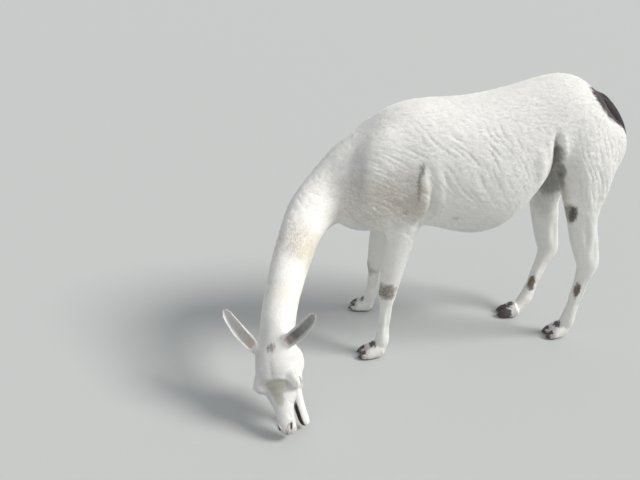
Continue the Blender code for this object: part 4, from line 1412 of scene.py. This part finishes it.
# ---- tufts
class Roots:
    """Places on a mesh where tufts grow: position, normal and a place on the mesh's unwrap."""

    def __init__(self, mesh, spacing):
        """spacing is a number for each vertex: the distance from root to root."""
        mesh.calc_loop_triangles()
        corners = gathered(mesh.loop_triangles, "vertices", 3, np.int64)
        loops = gathered(mesh.loop_triangles, "loops", 3, np.int64)
        co, out = positions(mesh), normals(mesh)
        a, b, c = (co[corners[:, k]] for k in range(3))
        area = np.linalg.norm(np.cross(b - a, c - a), axis=1) / 2
        expected = np.cumsum(area / spacing[corners].mean(axis=1) ** 2)
        count = int(expected[-1])
        marks = np.arange(count) + rng.random(count)
        triangle = np.minimum(np.searchsorted(expected, marks), len(corners) - 1)
        u, v = rng.random((2, count))
        over = u + v > 1
        u[over], v[over] = 1 - u[over], 1 - v[over]
        share = np.stack([1 - u - v, u, v], axis=1)[..., None]
        self.co = (co[corners[triangle]] * share).sum(axis=1)
        self.out = (out[corners[triangle]] * share).sum(axis=1)
        self.out /= np.linalg.norm(self.out, axis=1, keepdims=True)
        uv = gathered(mesh.uv_layers["OFBake"].data, "uv", 2)
        self.uv = (uv[loops[triangle]] * share).sum(axis=1)

    def chosen(self, which):
        some = Roots.__new__(Roots)
        some.co, some.out, some.uv = self.co[which], self.out[which], self.uv[which]
        return some


def unwrapped(obj):
    """The skin's own unwrap, by which every tuft on it knows its place."""
    bpy.context.view_layer.objects.active = obj
    obj.select_set(True)
    obj.data.uv_layers.new(name="OFBake")
    bpy.ops.object.mode_set(mode="EDIT")
    bpy.ops.mesh.select_all(action="SELECT")
    bpy.ops.uv.smart_project(angle_limit=math.radians(66), island_margin=0.002)
    bpy.ops.object.mode_set(mode="OBJECT")
    obj.select_set(False)


PATCH = 0.003  # the width of a tuft's patch on the unwrap
ROOT_DEPTH = 0.0006
WIDEST = 0.42  # where along its length a tuft is widest
RIDGE = 0.26  # how high its ridge stands there, as a share of its width
ROUNDNESS = 0.35  # how far a tuft's shading turns to its sides
# A tuft's corners are root, right, left, ridge and tip. The last two faces are its underside.
TUFT_FACES = np.array([(0, 1, 3), (0, 3, 2), (1, 4, 3), (3, 4, 2), (0, 2, 1), (1, 2, 4)])
# Painted shade and light along each tuft: darker at its root and sides, lighter at its tip.
TUFT_PAINTED_SHADING = np.array([0.9, 0.97, 0.97, 1.0, 1.03])
TUFT_PLACES = np.array([(0.5, 0.0), (0.0, WIDEST), (1.0, WIDEST), (0.5, WIDEST), (0.5, 1.0)])


def grown_tufts(name, roots, lies, lengths, widths, lifts, colour, finish, slot):
    """One mesh of tufts: closed spindles, flat below and ridged above, pointed at root and tip.

    Each leaves the skin a little below its surface, lies over along its way and ends lifts above it."""
    out = roots.out
    lie = lies - (lies * out).sum(axis=1, keepdims=True) * out
    lie /= np.linalg.norm(lie, axis=1, keepdims=True) + 1e-9
    across = np.cross(out, lie) * (widths / 2)[:, None]
    root = roots.co - out * ROOT_DEPTH
    middle = roots.co + lie * (lengths * WIDEST)[:, None] + out * (lifts * 0.55)[:, None]
    ridge = middle + out * (widths * RIDGE)[:, None]
    tip = roots.co + lie * lengths[:, None] + out * lifts[:, None]
    co = np.stack([root, middle - across, middle + across, ridge, tip], axis=1).reshape(-1, 3)
    every = (TUFT_FACES + 5 * np.arange(len(out))[:, None, None]).reshape(-1, 3)
    mesh = bpy.data.meshes.new(name)
    mesh.vertices.add(len(co))
    mesh.vertices.foreach_set("co", co.ravel())
    mesh.loops.add(every.size)
    mesh.loops.foreach_set("vertex_index", every.ravel().astype(np.int32))
    mesh.polygons.add(len(every))
    mesh.polygons.foreach_set("loop_start", np.arange(0, every.size, 3, dtype=np.int32))
    mesh.update(calc_edges=True)
    # The tuft's patch: across it and along it, round its root's place.
    uv = (roots.uv[:, None] + (TUFT_PLACES - 0.5) * PATCH).reshape(-1, 2)
    layer = mesh.uv_layers.new(name="OFBake")
    layer.data.foreach_set("uv", held(uv)[every.ravel()].ravel())
    # Each tuft's colour, painted darker at its root and sides and lighter at its tip.
    paint(mesh, (colour[:, None] * TUFT_PAINTED_SHADING[:, None]).reshape(-1, 3))
    # Hairs are softer than their clump's few faces: the shading stays close to the skin's.
    turn = ROUNDNESS * np.cross(out, lie)
    facing = np.stack([out - 0.3 * lie, out - turn, out + turn, out, out + 0.3 * lie], axis=1)
    facing = facing[:, TUFT_FACES]
    facing[:, 4:] = -out[:, None, None]
    facing = facing.reshape(-1, 3)
    facing /= np.linalg.norm(facing, axis=1, keepdims=True)
    obj = dressed(added(name, mesh), finish)
    mesh.normals_split_custom_set(facing)
    return obj


def bent(lies, out, most):
    """Turns each way about the normal by up to most, at random."""
    turn = rng.uniform(-most, most, len(lies))[:, None]
    return lies * np.cos(turn) + np.cross(out, lies) * np.sin(turn)


PIECE_TRIANGLES = 190_000
LASH = (0.014, 0.012)  # how far a lash stands out, and how far it hangs over the eye
LASH_WIDTH = 0.0008
# Painted shade: the wrinkles' valleys are painted darker by this share.
WRINKLE_SHADE = 0.1  # how much darker the wrinkles' valleys are
TUFT_SHADE = 0.07  # how much tuft differs from tuft
HAIR_TO_SPACING = ((0.003, 0.0065, 0.0075, 0.013), (0.0018, 0.0024, 0.0027, 0.0044))
HAIR_TO_WIDTH = ((0.003, 0.013), (0.3, 0.23))  # the width as a share of the length


def lashes(roots, lies, lengths, widths, lifts):
    """Lengthens the hairs along each upper lid into lashes that hang out over the eye."""
    for side in (-1, 1):
        along, up, *_ = lid_plane(roots.co, side)
        edge = (lid_gap(roots.co, side) < 1.5) & (up > 0.001)
        rim = np.flatnonzero(edge & (rng.random(len(up)) < 0.85))
        axis_along, axis_up, looks = (np.array(HEAD_TURN @ axis) for axis in lid_axes(side))
        count = len(rim)
        spread = along[rim, None] / LID_OPENING[0]
        lies[rim] = -axis_up + 0.5 * spread * axis_along + rng.uniform(-0.15, 0.15, (count, 3))
        roots.out[rim] = looks + 0.25 * spread * axis_along
        lengths[rim] = LASH[1] * rng.uniform(0.7, 1.2, count)
        widths[rim] = LASH_WIDTH
        lifts[rim] = LASH[0] * rng.uniform(0.55, 1.0, count)


def coat(skin):
    """Tufts all over the skin, in pieces from the muzzle to the rump."""
    mesh = skin.data
    co = positions(mesh)
    _, lengths = GUIDES.read(co)
    spacing = np.interp(lengths, *HAIR_TO_SPACING) / np.sqrt(np.maximum(1 - bare_skin(co), 1e-4))
    roots = Roots(mesh, spacing)
    lies, lengths = GUIDES.read(roots.co)
    lies = bent(lies, roots.out, 0.3)
    wave = ripple(roots.co)
    ears = ear_share(in_head(roots.co))
    count = len(wave)
    # Where the hair is short, tuft differs less from tuft.
    even = 0.5 + 0.5 * ramp(lengths, 0.006, 0.006)
    # Painted shade: darker in the wrinkles' valleys, a little lighter on their flats; and tuft differs from
    # tuft at random.
    valleys = np.minimum(wave - 0.3, 0.3)
    tone = WRINKLE_SHADE * valleys + TUFT_SHADE * even * rng.uniform(-1, 1, count)
    colour = painted(roots.co) * (1 + tone)[:, None]
    widths = lengths * np.interp(lengths, *HAIR_TO_WIDTH) * rng.uniform(0.75, 1.3, count)
    lengths = lengths * rng.uniform(0.8, 1.3, count) * (1 + 0.3 * ears)
    lifts = lengths * COAT_DEPTH * (0.28 + 0.18 * wave + rng.uniform(-0.1, 0.2, count) + 0.25 * ears)
    lashes(roots, lies, lengths, widths, lifts)
    order = np.argsort(roots.co[:, 0])
    pieces = math.ceil(count * len(TUFT_FACES) / PIECE_TRIANGLES)
    for number, part in enumerate(np.array_split(order, pieces), 1):
        looks = (values[part] for values in (lies, lengths, widths, lifts, colour))
        grown_tufts(f"coat_{number}", roots.chosen(part), *looks, FLEECE, "fleece")


def bare_skin(co):
    """1 where no hair grows: the lids' gap, the nostrils, the soles."""
    head = in_head(co)
    bare = (co[:, 2] < 0.004).astype(float)
    middle, radii = NOSTRIL
    for side in (-1, 1):
        bare = np.maximum(bare, lid_gap(co, side) < 1.25)
        bare = np.maximum(bare, off_squared(head, sided(middle, side), radii) < 1)
    return bare


# ---- eyes, nails, tail
EYE_BROWN = (0.055, 0.038, 0.03)
IRIS_BROWN = np.array((0.034, 0.019, 0.012))
EYE_BLACK = (0.004, 0.004, 0.005)
IRIS_RADIUS = 0.0135
PUPIL = (0.007, 0.0042)  # half length and half height
CORNEA = (0.0145, 0.001)  # radius and swelling
NAIL_COLOUR = np.array((0.075, 0.06, 0.056))
DOCK_COLOUR = (0.05, 0.035, 0.035)
DOCK_INSET = 0.006
TAIL_SPACING = 0.0038
TAIL_LENGTHS = (0.018, 0.03)
TAIL_LIFT = 0.0032
TAIL_END = 0.862  # the height at which the tail's hairs end


def eye_piece(name, side):
    """The eyeball with its swelling cornea: a dark iris round a flat pupil."""
    solid = bmesh.new()
    bmesh.ops.create_icosphere(solid, subdivisions=5, radius=EYE_RADIUS)
    obj = made(f"{name}_ball", solid)
    co = positions(obj.data)
    along, up, out = (co @ np.array(axis) for axis in lid_axes(side))
    r = np.hypot(along, up)
    front = out > 0
    pupil = 1.0 - np.sqrt((along / PUPIL[0]) ** 2 + (up / PUPIL[1]) ** 2)
    streaks = wobble(np.stack([np.arctan2(up, along) * 0.01, r * 0.1, r * 0], axis=1), 0.0012, 50.0)
    colour = np.tile(EYE_BROWN, (len(co), 1))
    blend(colour, ramp(r, IRIS_RADIUS, -0.0012) * front, IRIS_BROWN * (1 + 0.35 * streaks)[:, None])
    blend(colour, held(pupil / 0.15) * front, EYE_BLACK)
    swelling = held(1 - (r / CORNEA[0]) ** 2) * front
    co += np.outer(swelling * CORNEA[1], np.array(lid_axes(side)[2]))
    place(obj.data, from_head(co + np.array(sided(EYE_PLACE, side))))
    paint(obj.data, colour)
    dressed(obj, WET)
    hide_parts(name)


def nail_piece(name, leg, side):
    """A toenail: a curved cone of dark horn over the tip of one toe."""
    rows = []
    for share, height, half, rise in NAIL_FORM:
        rows.append((share * leg["foot"], side * TOE_SPREAD[1], height, half, rise))
    rows = rounded(rows, 6)
    reaches = rows[:, 4], rows[:, 4] * 0.8, rows[:, 3]
    obj = sweep(f"{name}_horn", rows[:, :3], (0.4, 0, 1), *reaches, corners=24)
    obj.data.transform(foot_frame(leg))
    co = positions(obj.data)
    co[:, 2] = np.maximum(co[:, 2], 0.0002)
    place(obj.data, co)
    worn = ramp(co[:, 2], 0.012, -0.01)[:, None]
    grain = 1 + 0.4 * wobble(co * (1, 1, 3), 0.004, 60.0)[:, None]
    paint(obj.data, (NAIL_COLOUR + worn * 0.05) * grain)
    dressed(obj, HORN)
    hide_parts(name)


def tail_piece():
    """The dock, and the dark hair that lies down over it."""
    rows = rounded(TAIL_FORM, 6)
    rows[:, 3:] = np.maximum(rows[:, 3:] - DOCK_INSET, 0.004)
    reaches = rows[:, 4], rows[:, 4], rows[:, 3]
    dock = sweep("tail_dock", rows[:, :3], (0.7, 0, 0.7), *reaches, corners=28)
    count = len(dock.data.vertices)
    unwrapped(dock)
    roots = Roots(dock.data, np.full(count, TAIL_SPACING))
    way = np.subtract(TAIL_FORM[-2][:3], TAIL_FORM[0][:3])
    size = np.linalg.norm(way)
    roots = roots.chosen(roots.out @ way > -0.3 * size)
    hairs = len(roots.co)
    lies = bent(np.tile(way / size, (hairs, 1)), roots.out, 0.25)
    lengths = rng.uniform(*TAIL_LENGTHS, hairs)
    lengths = np.minimum(lengths, np.maximum((roots.co[:, 2] - TAIL_END) * 1.15, 0.008))
    colour = TAIL_DARK * (1 + 0.35 * wobble(roots.co, 0.008, 70.0)[:, None])
    paint(dock.data, np.tile(DOCK_COLOUR, (count, 1)))
    lifts = np.full(hairs, TAIL_LIFT)
    grown_tufts("tail_hair", roots, lies, lengths, lengths * 0.14, lifts, colour, TAIL_HAIR, "tail_hair")
    dressed(dock, HIDE)
    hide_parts("tail")


# ---- stage
def stage():
    solid = bmesh.new()
    bmesh.ops.create_grid(solid, x_segments=1, y_segments=1, size=30)
    floor = made("floor", solid)
    floor.data.materials.append(principled("floor_pale", 0.9, Base_Color=FLOOR_COLOUR))
    data = bpy.data.lights.new("key", "SUN")
    data.energy = KEY_STRENGTH
    data.angle = KEY_SOFTNESS
    data.color = KEY_COLOUR
    key = added("key", data)
    key.rotation_mode = "QUATERNION"
    key.rotation_quaternion = KEY_FROM.to_track_quat("Z", "Y")
    world = bpy.data.worlds.new("studio")
    world.use_nodes = True
    sky = world.node_tree.nodes["Background"]
    sky.inputs["Color"].default_value = ROOM_COLOUR
    sky.inputs["Strength"].default_value = ROOM_LIGHT
    bpy.context.scene.world = world


def camera():
    data = bpy.data.cameras.new("camera")
    data.lens = CAMERA_LENS
    data.sensor_width = SENSOR
    eye = added("camera", data)
    eye.location = CAMERA_PLACE + SHIFT
    eye.rotation_euler = (math.pi / 2 - CAMERA_DOWN, 0, CAMERA_HEADING)
    bpy.context.scene.camera = eye
    bpy.context.scene.view_settings.view_transform = "Standard"


# ---- making it
FLESH = [n for n in frame["nodes"] if not n.startswith(("eye", "tail")) and "nail" not in n]

skin = whole_skin()
inset(skin)
sculpted(skin)
rippled(skin)
unwrapped(skin)
coat(skin)
paint(skin.data, painted(positions(skin.data)))
dressed(skin, HIDE)
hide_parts(*FLESH)
for side, word in ((-1, "right"), (1, "left")):
    eye_piece(f"eye_{word}", side)
    for name, leg in LEGS.items():
        nail_piece(f"{name}_nail_{word}", leg, side)
tail_piece()
camera()
stage()
